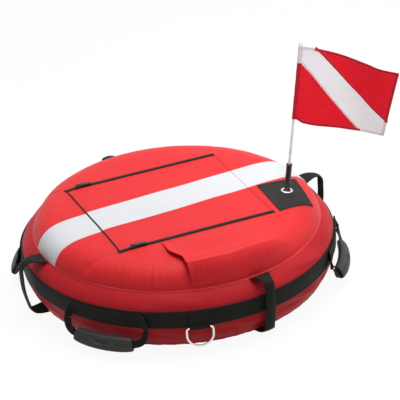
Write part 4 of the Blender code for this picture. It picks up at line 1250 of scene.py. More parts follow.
def anticlockwise(corners: Sequence[Spot]) -> list[tuple[Spot, Spot]]:
    """Directed sides of an outline in plan, anticlockwise.

    Args:
        corners: The outline's corners, in order.

    Returns:
        The sides as (start, end).
    """
    area = sum(a[0] * b[1] - b[0] * a[1] for a, b in zip(corners, [*corners[1:], corners[0]]))
    ordered = list(corners) if area > 0 else list(reversed(corners))
    return list(zip(ordered, [*ordered[1:], ordered[0]]))


def grown(corners: Sequence[Spot], distance: float) -> list[tuple[float, float]]:
    """An outline with every side moved outwards.

    Args:
        corners: The outline's corners.
        distance: How far; below 0 it shrinks.

    Returns:
        The new corners.
    """
    sides = []
    for start, end in anticlockwise(corners):
        along = (Vector(end) - Vector(start)).normalized()
        out = Vector((along.y, -along.x)) * distance
        sides.append((Vector(start) + out, along))
    result = []
    for (first, along), (second, other) in zip([sides[-1], *sides[:-1]], sides):
        gap = second - first
        share = (gap.x * other.y - gap.y * other.x) / (along.x * other.y - along.y * other.x)
        result.append(tuple(first + along * share))
    return result


@dataclass
class Cover:
    """The sewn cover: top cloth, flap, stripe, side bands, base, piping and belt."""

    shape: BuoyShape = SHAPE
    steps: int = 420
    stripe_sink: float = 0.0004
    stripe_thickness: float = 0.0006
    stripe_step: float = 0.002
    flap_lift: float = 0.0016
    gap: float = 0.0010
    binding_width: float = 0.006
    binding_rise: float = 0.0012
    band_rows: int = 22

    def build(self) -> None:
        """Build and dress every piece of the cover."""
        dome = self.top_cloth()
        self.top_panels(dome)
        self.stripe(dome)
        self.binding(dome)
        bpy.data.objects.remove(dome, do_unlink=True)
        self.side_bands()
        self.base()
        self.seams()
        self.belt()

    def top_cloth(self) -> Piece:
        """The whole puckered top as one open shell, for the panels to be cut from.

        Returns:
            The shell.
        """
        shares = 1.0 - np.linspace(0.0, 1.0, 52) ** 1.7
        radii = [self.shape.top_seam_radius * share for share in shares]
        profile = [(radius, float(self.shape.dome_height(radius))) for radius in radii]
        dome = spun("dome_cloth", profile, self.steps)
        face_away(dome, CENTRE)
        spots = points_of(dome)
        centre = np.hypot(spots[:, 0], spots[:, 1]) < 1e-4
        moved = self.shape.on_dome(spots[:, 0], spots[:, 1], np.full(len(spots), self.shape.cover / 2))
        slack = self.inside_flap(spots[:, 0], spots[:, 1])
        moved[:, 2] += self.flap_lift * slack
        moved[centre, :2] = 0.0
        put_points(dome, moved)
        return dome

    def inside_flap(self, x: Points, y: Points) -> Points:
        """How far the flap is free: 1 at its free left edge, 0 outside it.

        Args:
            x: Places along X.
            y: Places along Y.

        Returns:
            The share at each place.
        """
        inner = np.ones_like(x)
        for start, end in anticlockwise(self.shape.flap):
            along = (Vector(end) - Vector(start)).normalized()
            depth = -((x - start[0]) * along.y - (y - start[1]) * along.x)
            low, high = (0.007, 0.024) if abs(along.x) > abs(along.y) else (0.0, 0.004)
            inner = inner * smoothstep(low, high, depth)
        return inner * smoothstep(0.05, -0.205, x)

    def top_panels(self, dome: Piece) -> None:
        """Cut the fixed top panel and the flap out of the whole cloth.

        Args:
            dome: The whole top cloth.
        """
        outer = sliced(
            copy_of(dome, "top_panel_cloth"), anticlockwise(grown(self.shape.flap, self.gap / 2)),
            inside=False
        )
        inner = sliced(
            copy_of(dome, "access_flap_cloth"), anticlockwise(grown(self.shape.flap, -self.gap / 2))
        )
        for piece, node in ((outer, "top_panel"), (inner, "access_flap")):
            thicken(piece, self.shape.cover)
            smoothed(piece)
            dress(piece, RED_TOP, Slot.TOP, replaces=(node,))

    def stripe(self, dome: Piece) -> None:
        """The white stripe in its three parts.

        Args:
            dome: The whole top cloth.
        """
        (fl, fr, br, bl), half, reach = self.shape.flap, self.shape.stripe_half, self.shape.belt_radius

        def edge_at(start: Spot, end: Spot, y: float) -> float:
            """X where a side of the flap crosses a Y."""
            return start[0] + (end[0] - start[0]) * (y - start[1]) / (end[1] - start[1])

        left = [edge_at(fl, bl, y) for y in (-half, half)]
        right = [edge_at(fr, br, y) for y in (-half, half)]
        rise, low, high = self.binding_width / 2 - 0.001, -half - self.stripe_step, half - self.stripe_step
        outlines = {
            "stripe_left": [(-reach, low), (left[0] - rise, low), (left[1] - rise, high), (-reach, high)],
            "stripe_flap": [
                (left[0] + rise, -half), (right[0], -half), (right[1], half), (left[1] + rise, half)
            ],
            "stripe_right": [
                (right[0] + 0.0012, -half), (reach, -half), (reach, half), (right[1] + 0.0012, half)
            ],
        }
        for node, corners in outlines.items():
            piece = sliced(copy_of(dome, f"{node}_cloth"), anticlockwise(corners))
            raised(piece, self.stripe_sink)
            thicken(piece, self.stripe_thickness)
            smoothed(piece)
            dress(piece, WHITE_STRIPE, Slot.STRIPE, replaces=(node,))

    def binding(self, dome: Piece) -> None:
        """The narrow dark binding along the flap's free edge.

        Args:
            dome: The whole top cloth.
        """
        front, back = Vector(self.shape.flap[0]), Vector(self.shape.flap[3])
        along = (back - front).normalized()
        side = Vector((along.y, -along.x)) * self.binding_width / 2
        start, end = front + along * 0.006, back - along * 0.006
        corners = [
            tuple(start + side * 0.6), tuple(end + side * 0.6), tuple(end - side * 0.6),
            tuple(start - side * 0.6)
        ]
        piece = sliced(copy_of(dome, "flap_binding_tape"), anticlockwise(corners))
        raised(piece, self.binding_rise)
        thicken(piece, self.binding_rise)
        rounded(piece, 0.0003, 1)
        origin = np.array([*front, 0.0])
        ahead, out = np.array([*along, 0.0]), np.array([along.y, -along.x, 0.0])
        lay_map(
            piece,
            lambda spots: np.stack([(spots - origin) @ out + 0.003, (spots - origin) @ ahead], axis=1)
        )
        smoothed(piece)
        dress(piece, BINDING, Slot.WEBBING, replaces=("flap_binding",))

    def round_map(self, spots: Points) -> Points:
        """Map places for a round band: way round it and height, in metres.

        Args:
            spots: The corners' points.

        Returns:
            Their map places.
        """
        count = len(spots)
        angle = np.arctan2(spots[:, 1], spots[:, 0])
        if count % 4 == 0:
            corners = angle.reshape(-1, 4)
            wrapped = corners - corners[:, :1]
            corners = corners[:, :1] + (wrapped + math.pi) % math.tau - math.pi
            angle = corners.reshape(-1)
        return np.stack([spots[:, 2], angle * self.shape.belt_radius], axis=1)

    def band(self, name: str, heights: Spot) -> Piece:
        """One side band with its soft folds, as an open shell.

        Args:
            name: The piece's name.
            heights: Heights of the band's rows.

        Returns:
            The shell.
        """
        profile = [(float(self.shape.side_radius(np.array(h))), h) for h in heights]
        piece = spun(name, profile, self.steps)
        face_away(piece, CENTRE)
        spots = points_of(piece)
        angle = np.arctan2(spots[:, 1], spots[:, 0])
        radius = np.hypot(spots[:, 0], spots[:, 1])
        more = self.shape.side_relief(angle, spots[:, 2]) + self.shape.cover / 2
        put_points(piece, spots * np.stack([(radius + more) / radius] * 2 + [np.ones_like(radius)], axis=1))
        lay_map(piece, self.round_map)
        return piece

    def side_bands(self) -> None:
        """The two side bands, above and below the belt's middle."""
        for name, node, low, high in (
            (
                "upper_side_cloth", "upper_side_band", self.shape.belt_height + 0.0004,
                self.shape.top_seam_height
            ),
            (
                "lower_side_cloth", "lower_side_band", self.shape.base_seam_height,
                self.shape.belt_height - 0.0004
            ),
        ):
            piece = self.band(name, spaced(low, high, self.band_rows))
            thicken(piece, self.shape.cover)
            smoothed(piece)
            # Both bands take the darker red, with its painted shade.
            dress(piece, RED_SIDE_PAINTED_SHADE, Slot.SIDE, replaces=(node,))

    def base(self) -> None:
        """The base panel with its turned-up edge."""
        flat, low = self.shape.cover / 2, self.shape.base_seam_height
        edge = self.shape.base_seam_radius - self.shape.piping * 0.9
        middle = (edge + self.shape.base_flat_radius) / 2
        profile = [tuple(row) for row in curve_through(
            [
                (edge, low - 0.0008), (middle, flat + (low - flat) * 0.3),
                (self.shape.base_flat_radius, flat), (0.24, flat)
            ], 6,
        )]
        profile += [(0.12, flat), (0.0, flat)]
        piece = spun("base_cloth", profile, 240)
        face_away(piece, CENTRE)
        thicken(piece, self.shape.cover, 0.0)
        smoothed(piece)
        dress(piece, RED_BASE, Slot.SIDE, replaces=("bottom_panel",))

    def seams(self) -> None:
        """The corded piping along both round seams."""
        for node, radius, height in (
            ("top_piping", self.shape.top_seam_radius, self.shape.top_seam_height),
            ("base_piping", self.shape.base_seam_radius, self.shape.base_seam_height),
        ):
            ring = [
                (radius + self.shape.piping * math.cos(turn), height + self.shape.piping * math.sin(turn))
                for turn in (math.tau * index / 12 for index in range(12))
            ]
            piece = spun(f"{node}_cord", ring, self.steps, closed=True)
            outward(piece)
            spots = points_of(piece)
            angle = np.arctan2(spots[:, 1], spots[:, 0])
            wobble = 0.0004 * np.sin(61 * angle) + 0.0003 * np.sin(140 * angle + 1.0)
            spots[:, 2] += wobble
            put_points(piece, spots)
            lay_map(piece, self.round_map)
            smoothed(piece)
            dress(piece, RED_PIPING, Slot.PIPING, replaces=(node,))

    def belt(self) -> None:
        """The belt webbing round the widest part."""
        half = self.shape.belt_width / 2
        lift = self.shape.face + self.shape.belt_thickness
        heights = spaced(self.shape.belt_height + half, self.shape.belt_height - half, 9)
        profile = [(float(self.shape.side_radius(np.array(h))) + lift, h) for h in heights]
        piece = spun("belt_tape", profile, self.steps)
        face_away(piece, CENTRE)
        low = self.shape.belt_height - half
        lay_map(piece, lambda spots: self.round_map(spots) - np.array([low, 0.0]))
        thicken(piece, self.shape.belt_thickness)
        rounded(piece, 0.0005, 2, 60)
        smoothed(piece)
        dress(piece, BELT_WEB, Slot.WEBBING, replaces=("belt_webbing",))


# ---------------------------------------------------------------- ribbons


def ribbon(
    name: str,
    centres: Points,
    across: Points,
    widths: Points,
    thickness: float,
    columns: int = 6,
    bow: Points | None = None,
) -> Piece:
    """Lay a flat grid along a route as a band of webbing.

    Args:
        name: The piece's name.
        centres: The route, one row for each step.
        across: The band's width direction at each step.
        widths: The band's width at each step.
        thickness: The band's thickness.
        columns: Faces across the band.
        bow: How far the band's middle stands out at each step.

    Returns:
        The piece, closed and rounded at its edges.
    """
    rows = len(centres) - 1
    piece = grid(name, columns, rows)
    spots = points_of(piece)
    step = np.clip(np.rint(spots[:, 1] * rows).astype(int), 0, rows)
    along = np.gradient(centres, axis=0)
    along = unit(along)
    across = unit(across - along * (across * along).sum(1, keepdims=True))
    out = np.cross(along, across)
    share = spots[:, 0] - 0.5
    placed = centres[step] + across[step] * (share * widths[step])[:, None]
    if bow is not None:
        placed = placed + out[step] * (bow[step] * (1.0 - (2.0 * share) ** 2))[:, None]
    length = float(np.linalg.norm(np.diff(centres, axis=0), axis=1).sum())
    scale_map(piece, float(widths.max()), length)
    put_points(piece, placed)
    thicken(piece, thickness, 0.0)
    rounded(piece, thickness * 0.3, 2, 60)
    return smoothed(piece)


@dataclass
class Straps:
    """The four webbing straps that bridge the side from seam to seam."""

    shape: BuoyShape = SHAPE
    end_width: float = 0.047
    middle_width: float = 0.025
    thickness: float = 0.0022
    stand_out: float = 0.027
    front_stand_out: float = 0.0135
    fold_share: float = 0.22
    bow: float = 0.0022
    angles: dict = field(
        default_factory=lambda: {"right": 0.0, "back": 90.0, "left": 180.0, "front": -85.0}
    )

    def route(self, stand_out: float) -> list[tuple[float, float]]:
        """The strap's line as (radius, height), from the top seam to the base seam.

        Args:
            stand_out: How far the strap stands off the belt.

        Returns:
            The line's knots.
        """
        s = self.shape
        edge = s.piping + 0.0003
        out = s.belt_radius + stand_out
        return [
            (s.top_seam_radius + edge, s.top_seam_height),
            (s.top_seam_radius + (out - s.top_seam_radius) * 0.55, s.top_seam_height + 0.006),
            (out - 0.003, s.top_seam_height - 0.003),
            (out, s.belt_height + s.belt_width * 0.55),
            (out - 0.001, s.belt_height - s.belt_width * 0.3),
            (out - 0.002 - stand_out * 0.20, s.belt_height * 0.45),
            (s.base_seam_radius + (out - s.base_seam_radius) * 0.66, s.base_seam_height + 0.003),
            (s.base_seam_radius + edge, s.base_seam_height),
        ]

    def build(self) -> None:
        """Build and dress each strap."""
        for side, degrees in self.angles.items():
            angle = math.radians(degrees)
            out = np.array([math.cos(angle), math.sin(angle), 0.0])
            line = curve_through(
                self.route(self.front_stand_out if side == "front" else self.stand_out), 10
            )
            centres = line[:, :1] * out + line[:, 1:] * np.array([0.0, 0.0, 1.0])
            shares = np.linspace(0.0, 1.0, len(line))
            ends = np.minimum(shares, 1.0 - shares) / self.fold_share
            fold = smoothstep(0.0, 1.0, ends)
            widths = self.end_width + (self.middle_width - self.end_width) * fold
            across = np.tile([-out[1], out[0], 0.0], (len(line), 1))
            piece = ribbon(
                f"{side}_strap_webbing", centres, across, widths, self.thickness, 8, self.bow * fold
            )
            dress(piece, STRAP_WEB, Slot.WEBBING, replaces=(f"{side}_strap",))


# ---------------------------------------------------------------- pieces along a route


def copies(piece: Piece, count: int, pitch: float) -> Piece:
    """Repeat a piece along X.

    Args:
        piece: The piece that repeats.
        count: How many there are in all.
        pitch: The distance between them.

    Returns:
        The same piece, now the whole row.
    """
    row = piece.modifiers.new("row", "ARRAY")
    row.count = count
    row.use_relative_offset = False
    row.use_constant_offset = True
    row.constant_offset_displace = (pitch, 0.0, 0.0)
    return apply_all(piece)


def way_along(centres: Points) -> Points:
    """Distance along a route at each of its points."""
    return np.concatenate([[0.0], np.cumsum(np.linalg.norm(np.diff(centres, axis=0), axis=1))])


def lay_along(piece: Piece, centres: Points, across: Points) -> Piece:
    """Bend a straight piece along a route.

    Args:
        piece: A piece whose X runs along the route, Y across it and Z out of it.
        centres: The route, one row for each step.
        across: The direction across the route at each step.

    Returns:
        The same piece.
    """
    spots = points_of(piece)
    lengths = way_along(centres)
    along = unit(np.gradient(centres, axis=0))
    across = unit(across - along * (across * along).sum(1, keepdims=True))
    out = np.cross(along, across)
    where = np.clip(spots[:, 0], 0.0, lengths[-1])

    def read(rows: Points) -> Points:
        """The rows at each vertex's way along."""
        return np.stack([np.interp(where, lengths, rows[:, axis]) for axis in range(3)], axis=1)

    put_points(piece, read(centres) + read(across) * spots[:, 1:2] + read(out) * spots[:, 2:3])
    return piece


def stitch_row(
    name: str, centres: Points, across: Points, pitch: float = 0.0040, thread: float = 0.0008
) -> Piece:
    """A row of thread stitches along a route, one modelled and the rest repeated from it.

    Args:
        name: The piece's name.
        centres: The route, on the cloth's face.
        across: The direction across the row at each step.
        pitch: The stitches' distance.
        thread: The thread's thickness.

    Returns:
        The piece.
    """
    bpy.ops.mesh.primitive_uv_sphere_add(
        segments=6, ring_count=5, radius=1.0, rotation=(0.0, math.pi / 2, 0.0)
    )
    piece = named(name)
    spots = points_of(piece) * (pitch * 0.36, thread / 2, thread / 2)
    spots[:, 2] = np.where(spots[:, 2] < 0, spots[:, 2] * 0.5, spots[:, 2]) + thread * 0.15
    spots[:, 0] += pitch / 2
    put_points(piece, spots)
    copies(piece, max(int(way_along(centres)[-1] / pitch), 1), pitch)
    lay_along(piece, centres, across)
    return smoothed(piece, 80)


def swept_loop(name: str, centres: Points, normal: Points, radius: float, sides: int = 16) -> Piece:
    """Sweep a round section along a flat closed loop.

    Args:
        name: The piece's name.
        centres: The loop, one row for each step, not repeated at its end.
        normal: The unit normal of the loop's plane.
        radius: The section's radius.
        sides: Faces round the section.

    Returns:
        The piece, closed both ways.
    """
    rows = len(centres)
    piece = grid(name, sides, rows)
    spots = points_of(piece)
    step = np.rint(spots[:, 1] * rows).astype(int) % rows
    turn = spots[:, 0] * math.tau
    along = unit(np.roll(centres, -1, axis=0) - np.roll(centres, 1, axis=0))
    side = np.cross(along, np.tile(normal, (rows, 1)))
    put_points(
        piece,
        centres[step] + radius * (np.cos(turn)[:, None] * normal + np.sin(turn)[:, None] * side[step])
    )
    edit(piece)
    bpy.ops.mesh.remove_doubles(threshold=MERGE)
    bpy.ops.mesh.normals_make_consistent(inside=False)
    done()
    return smoothed(piece, 70)


def moved(piece: Piece, place: Matrix) -> Piece:
    """Move a piece's vertices by a matrix, so that the object stays at the origin.

    Args:
        piece: The piece.
        place: Where it goes.

    Returns:
        The same piece.
    """
    piece.data.transform(place)
    piece.data.update()
    return piece


def spun_along(name: str, profile: Line, steps: int, place: Matrix, closed: bool = False) -> Piece:
    """Spin a profile and set its axis along the Z axis of a place.

    Args:
        name: The piece's name.
        profile: Points as (radius, height).
        steps: Steps round the axis.
        place: Where the piece goes.
        closed: Whether the profile ends where it starts.

    Returns:
        The piece, closed.
    """
    piece = outward(spun(name, profile, steps, closed))
    return smoothed(moved(piece, place), 40)


# ---------------------------------------------------------------- zips


@dataclass
class Zips:
    """The two zips of the flap: tape, coil, stops, slider and pull tab."""

    shape: BuoyShape = SHAPE
    steps: int = 160
    end_margin: float = 0.004
    tape_width: float = 0.012
    tape: float = 0.0008
    coil_width: float = 0.0048
    coil_height: float = 0.0016
    tooth_pitch: float = 0.0017
    play: float = 0.0003
    stitch_offset: float = 0.0046
    stop_size: tuple = (0.0024, 0.0062, 0.0018)
    slider_start: float = 0.028
    slider_floor: float = 0.185495
    slider_length: float = 0.014
    slider_width: float = 0.0095
    wall: float = 0.0014
    pull_length: float = 0.036
    pull_width: float = 0.0095
    pull_thickness: float = 0.0024
    fork_depth: float = 0.0036
    rib_count: int = 8
    rib_pitch: float = 0.0019
    pin: float = 0.0008
    bridge_width: float = 0.0030

    def build(self) -> None:
        """Build and dress both zips."""
        for side, (start, end) in self.shape.zips.items():
            first, last = np.array(start), np.array(end)
            length = float(np.linalg.norm(last - first))
            along = (last - first) / length
            self.tape_and_coil(side, first, along, length)
            spot = first + along * self.slider_start
            turn = Matrix((
                (along[0], -along[1], 0.0, spot[0]),
                (along[1], along[0], 0.0, spot[1]),
                (0.0, 0.0, 1.0, self.slider_floor),
                (0.0, 0.0, 0.0, 1.0),
            ))
            self.slider(side, turn)
            self.pull(side, turn)

    def route(
        self, first: Points, along: Points, low: float, high: float, lift: float
    ) -> tuple[Points, Points]:
        """A line along a zip on the crown, and the direction across it.

        Args:
            first: The zip's start in plan.
            along: Unit vector along it.
            low: Distance where the line starts.
            high: Distance where it ends.
            lift: Height above the cloth's middle.

        Returns:
            The line's points and the directions.
        """
        way = np.linspace(low, high, self.steps)
        centres = self.shape.on_dome(
            first[0] + along[0] * way, first[1] + along[1] * way, np.full(self.steps, lift)
        )
        return centres, np.tile([-along[1], along[0], 0.0], (self.steps, 1))

    def tape_and_coil(self, side: str, first: Points, along: Points, length: float) -> None:
        """The woven tape, its stitches, both rows of the coil and the end stops.

        Args:
            side: Which zip.
            first: The zip's start in plan.
            along: Unit vector along it.
            length: The zip's length.
        """
        base = self.shape.cover / 2 + 0.0002
        low, high = -self.end_margin, length + self.end_margin
        centres, across = self.route(first, along, low, high, base + self.tape / 2)
        tape = ribbon(
            f"{side}_zip_tape", centres, across, np.full(self.steps, self.tape_width), self.tape, 8
        )
        dress(tape, ZIP_TAPE, Slot.BLACK_CLOTH, replaces=(f"{side}_zip",))
        for index, offset in enumerate((-self.stitch_offset, self.stitch_offset)):
            centres, across = self.route(first, along, low, high, base + self.tape)
            row = stitch_row(
                f"{side}_zip_stitches_{index}", centres + across * offset, across, 0.0034, 0.0006
            )
            dress(row, THREAD_BLACK, Slot.BLACK_CLOTH)

        centres, across = self.route(first, along, 0.0, length, base + self.tape)
        for index, sign in enumerate((-1.0, 1.0)):
            coil = self.tooth(f"{side}_zip_coil_{index}", sign)
            copies(coil, int((length - 0.002) / self.tooth_pitch), self.tooth_pitch)
            moved(coil, Matrix.Translation((0.001 + (0.5 + 0.25 * sign) * self.tooth_pitch, 0.0, 0.0)))
            dress(smoothed(lay_along(coil, centres, across), 70), COIL, Slot.BLACK_CLOTH)
        for index, way in enumerate((0.0012, length - 0.0012)):
            bpy.ops.mesh.primitive_cube_add(size=1.0)
            stop = named(f"{side}_zip_stop_{index}")
            put_points(stop, points_of(stop) * self.stop_size + (way, 0.0, 0.0008))
            rounded(stop, 0.0004, 3)
            dress(smoothed(lay_along(stop, centres, across)), SLIDER_METAL, Slot.BLACK_CLOTH)

    def tooth(self, name: str, sign: float) -> Piece:
        """One turn of the coil, lying across the zip from one side to just past the middle.

        Args:
            name: The piece's name.
            sign: Which side it comes from.

        Returns:
            The turn, closed.
        """
        bpy.ops.mesh.primitive_cylinder_add(
            vertices=8, radius=1.0, depth=1.0, rotation=(math.pi / 2, 0.0, 0.0)
        )
        piece = named(name)
        edit(piece)
        bpy.ops.mesh.select_all(action="SELECT")
        bpy.ops.mesh.bevel(offset=0.2, segments=2, affect="EDGES")
        done()
        spots = points_of(piece)
        share = spots[:, 1] + 0.5
        thick = self.tooth_pitch * 0.36
        reach = self.coil_width / 2
        spots[:, 0] = (
            spots[:, 0] * thick * (0.85 + 0.3 * share * (1 - share))
            + (share - 0.5) * self.tooth_pitch * 0.25
        )
        spots[:, 2] = self.coil_height * (0.45 + 0.45 * spots[:, 2] * (0.8 + 0.5 * np.sin(math.pi * share)))
        spots[:, 1] = sign * (reach - share * (reach + 0.0007))
        put_points(piece, spots)
        return outward(piece)

    def slider_top(self) -> float:
        """Height of the slider's upper face above the tape's underside."""
        return self.tape + self.coil_height + 2 * self.play + self.wall

    def pin_height(self) -> float:
        """Height of the pull tab's pin above the tape's underside."""
        return self.slider_top() + self.pull_thickness * math.sqrt(0.5) + 0.0004

    def slider(self, side: str, turn: Matrix) -> None:
        """The slider: a shouldered top plate, two flanges that hug the coil, and a bridge.

        Args:
            side: Which zip.
            turn: The slider's place.
        """
        top, low = self.slider_top(), self.tape + self.play
        bpy.ops.mesh.primitive_circle_add(vertices=40, radius=1.0, fill_type="NGON")
        plate = named(f"{side}_slider_plate")
        spots = points_of(plate)
        x, y = spots[:, 0], spots[:, 1]
        ahead = squared(x, 0.62)
        half = (
            self.slider_width / 2
            * (0.86 + 0.14 * smoothstep(-0.6, 0.5, ahead) - 0.10 * smoothstep(-0.2, -1.0, ahead))
        )
        spots[:, 0] = ahead * self.slider_length / 2
        spots[:, 1] = squared(y, 0.62) * half
        spots[:, 2] = top - self.wall
        put_points(plate, spots)
        edit(plate)
        bpy.ops.mesh.extrude_region_move(TRANSFORM_OT_translate={"value": (0.0, 0.0, self.wall)})
        bpy.ops.mesh.inset(thickness=0.0012, depth=0.0)
        bpy.ops.mesh.inset(thickness=0.0004, depth=-0.0003)
        bpy.ops.mesh.select_all(action="SELECT")
        bpy.ops.mesh.normals_make_consistent(inside=False)
        done()
        rounded(plate, 0.0004, 3)
        pieces = [plate]
        for index, sign in enumerate((-1.0, 1.0)):
            bpy.ops.mesh.primitive_cube_add(size=1.0)
            flange = named(f"{side}_slider_flange_{index}")
            edit(flange)
            bpy.ops.mesh.subdivide(number_cuts=5)
            done()
            spots = points_of(flange)
            taper = 0.84 + 0.16 * smoothstep(-0.5, 0.4, spots[:, 0])
            inner = self.coil_width / 2 + 2 * self.play
            spots[:, 1] = (
                sign * (inner + (spots[:, 1] * sign + 0.5) * (self.slider_width / 2 * taper - inner))
            )
            spots[:, 0] *= self.slider_length * 0.9
            spots[:, 2] = low + (spots[:, 2] + 0.5) * (top - self.wall / 2 - low)
            put_points(flange, spots)
            pieces.append(rounded(flange, 0.0003, 2))
        pin = self.pin_height()
        arch = curve_through([
            (-0.0026, top - 0.0005), (-0.0022, pin - 0.0008), (-0.0014, pin + 0.0012), (0.0, pin + 0.0019),
            (0.0014, pin + 0.0012), (0.0022, pin - 0.0008), (0.0026, top - 0.0005),
        ], 5)
        centres = np.stack([arch[:, 0], np.zeros(len(arch)), arch[:, 1]], axis=1)
        across = np.tile([0.0, 1.0, 0.0], (len(arch), 1))
        widths = self.bridge_width * (1.0 - 0.12 * np.sin(np.linspace(0.0, math.pi, len(arch))))
        pieces.append(ribbon(f"{side}_slider_bridge", centres, across, widths, 0.0009, 4))
        piece = moved(joined(pieces, f"{side}_zip_slider_body"), turn)
        dress(smoothed(piece), SLIDER_METAL, Slot.SLIDER, f"{side}_slider", (f"{side}_zip_slider",))

    def pull(self, side: str, turn: Matrix) -> None:
        """The pull tab: a forked rubber plate with ribs, and the pin between its prongs.

        Args:
            side: Which zip.
            turn: The slider's place.
        """
        columns, rows = 20, 60
        piece = grid(f"{side}_pull_plate", columns, rows)
        spots = points_of(piece)
        way, wide = spots[:, 1], spots[:, 0] * 2 - 1
        half = (
            self.pull_width / 2
            * (0.84 + 0.16 * smoothstep(0.05, 0.35, way) - 0.20 * smoothstep(0.65, 1.0, way))
        )
        rounding = np.sqrt(np.clip(1.0 - np.clip((way - 0.93) / 0.07, 0, 1) ** 2, 0.12, 1.0))
        spots[:, 0] = -self.pull_thickness / 2 + way * self.pull_length
        spots[:, 1] = wide * half * rounding
        spots[:, 2] = 0.0
        put_points(piece, spots)
        slot = self.bridge_width / 2 + 0.0005
        without_faces(piece, lambda middle: middle.x < self.fork_depth and abs(middle.y) < slot)
        thicken(piece, self.pull_thickness, 0.0)
        rounded(piece, 0.0006, 3, 60)
        bpy.ops.mesh.primitive_cylinder_add(
            vertices=10, radius=1.0, depth=1.0, rotation=(math.pi / 2, 0.0, 0.0)
        )
        ribs = named(f"{side}_pull_ribs")
        put_points(
            ribs,
            points_of(ribs) * (0.0005, self.pull_width * 0.62, self.pull_thickness / 2 + 0.0004) + (
                0.0145, 0.0, 0.0
            )
        )
        rounded(ribs, 0.0002, 2)
        copies(ribs, self.rib_count, self.rib_pitch)
        bpy.ops.mesh.primitive_cylinder_add(
            vertices=16, radius=self.pin, depth=self.pull_width * 0.76, rotation=(math.pi / 2, 0.0, 0.0)
        )
        pin = rounded(named(f"{side}_pull_pin"), 0.0002, 2)
        tilt = math.asin(
            (self.pin_height() - self.pull_thickness / 2 - self.tape - self.coil_height - 2 * self.play)
            / self.pull_length
        )
        place = turn @ Matrix.Translation((0.0, 0.0, self.pin_height())) @ Matrix.Rotation(tilt, 4, "Y")
        tab = moved(joined([piece, ribs], f"{side}_pull_tab"), place)
        dress(smoothed(tab), PULL_RUBBER, Slot.BLACK_CLOTH, f"{side}_pull", (f"{side}_zip_pull",))
        dress(smoothed(moved(pin, place)), SLIDER_METAL, Slot.SLIDER, f"{side}_pull")


# ---------------------------------------------------------------- pocket


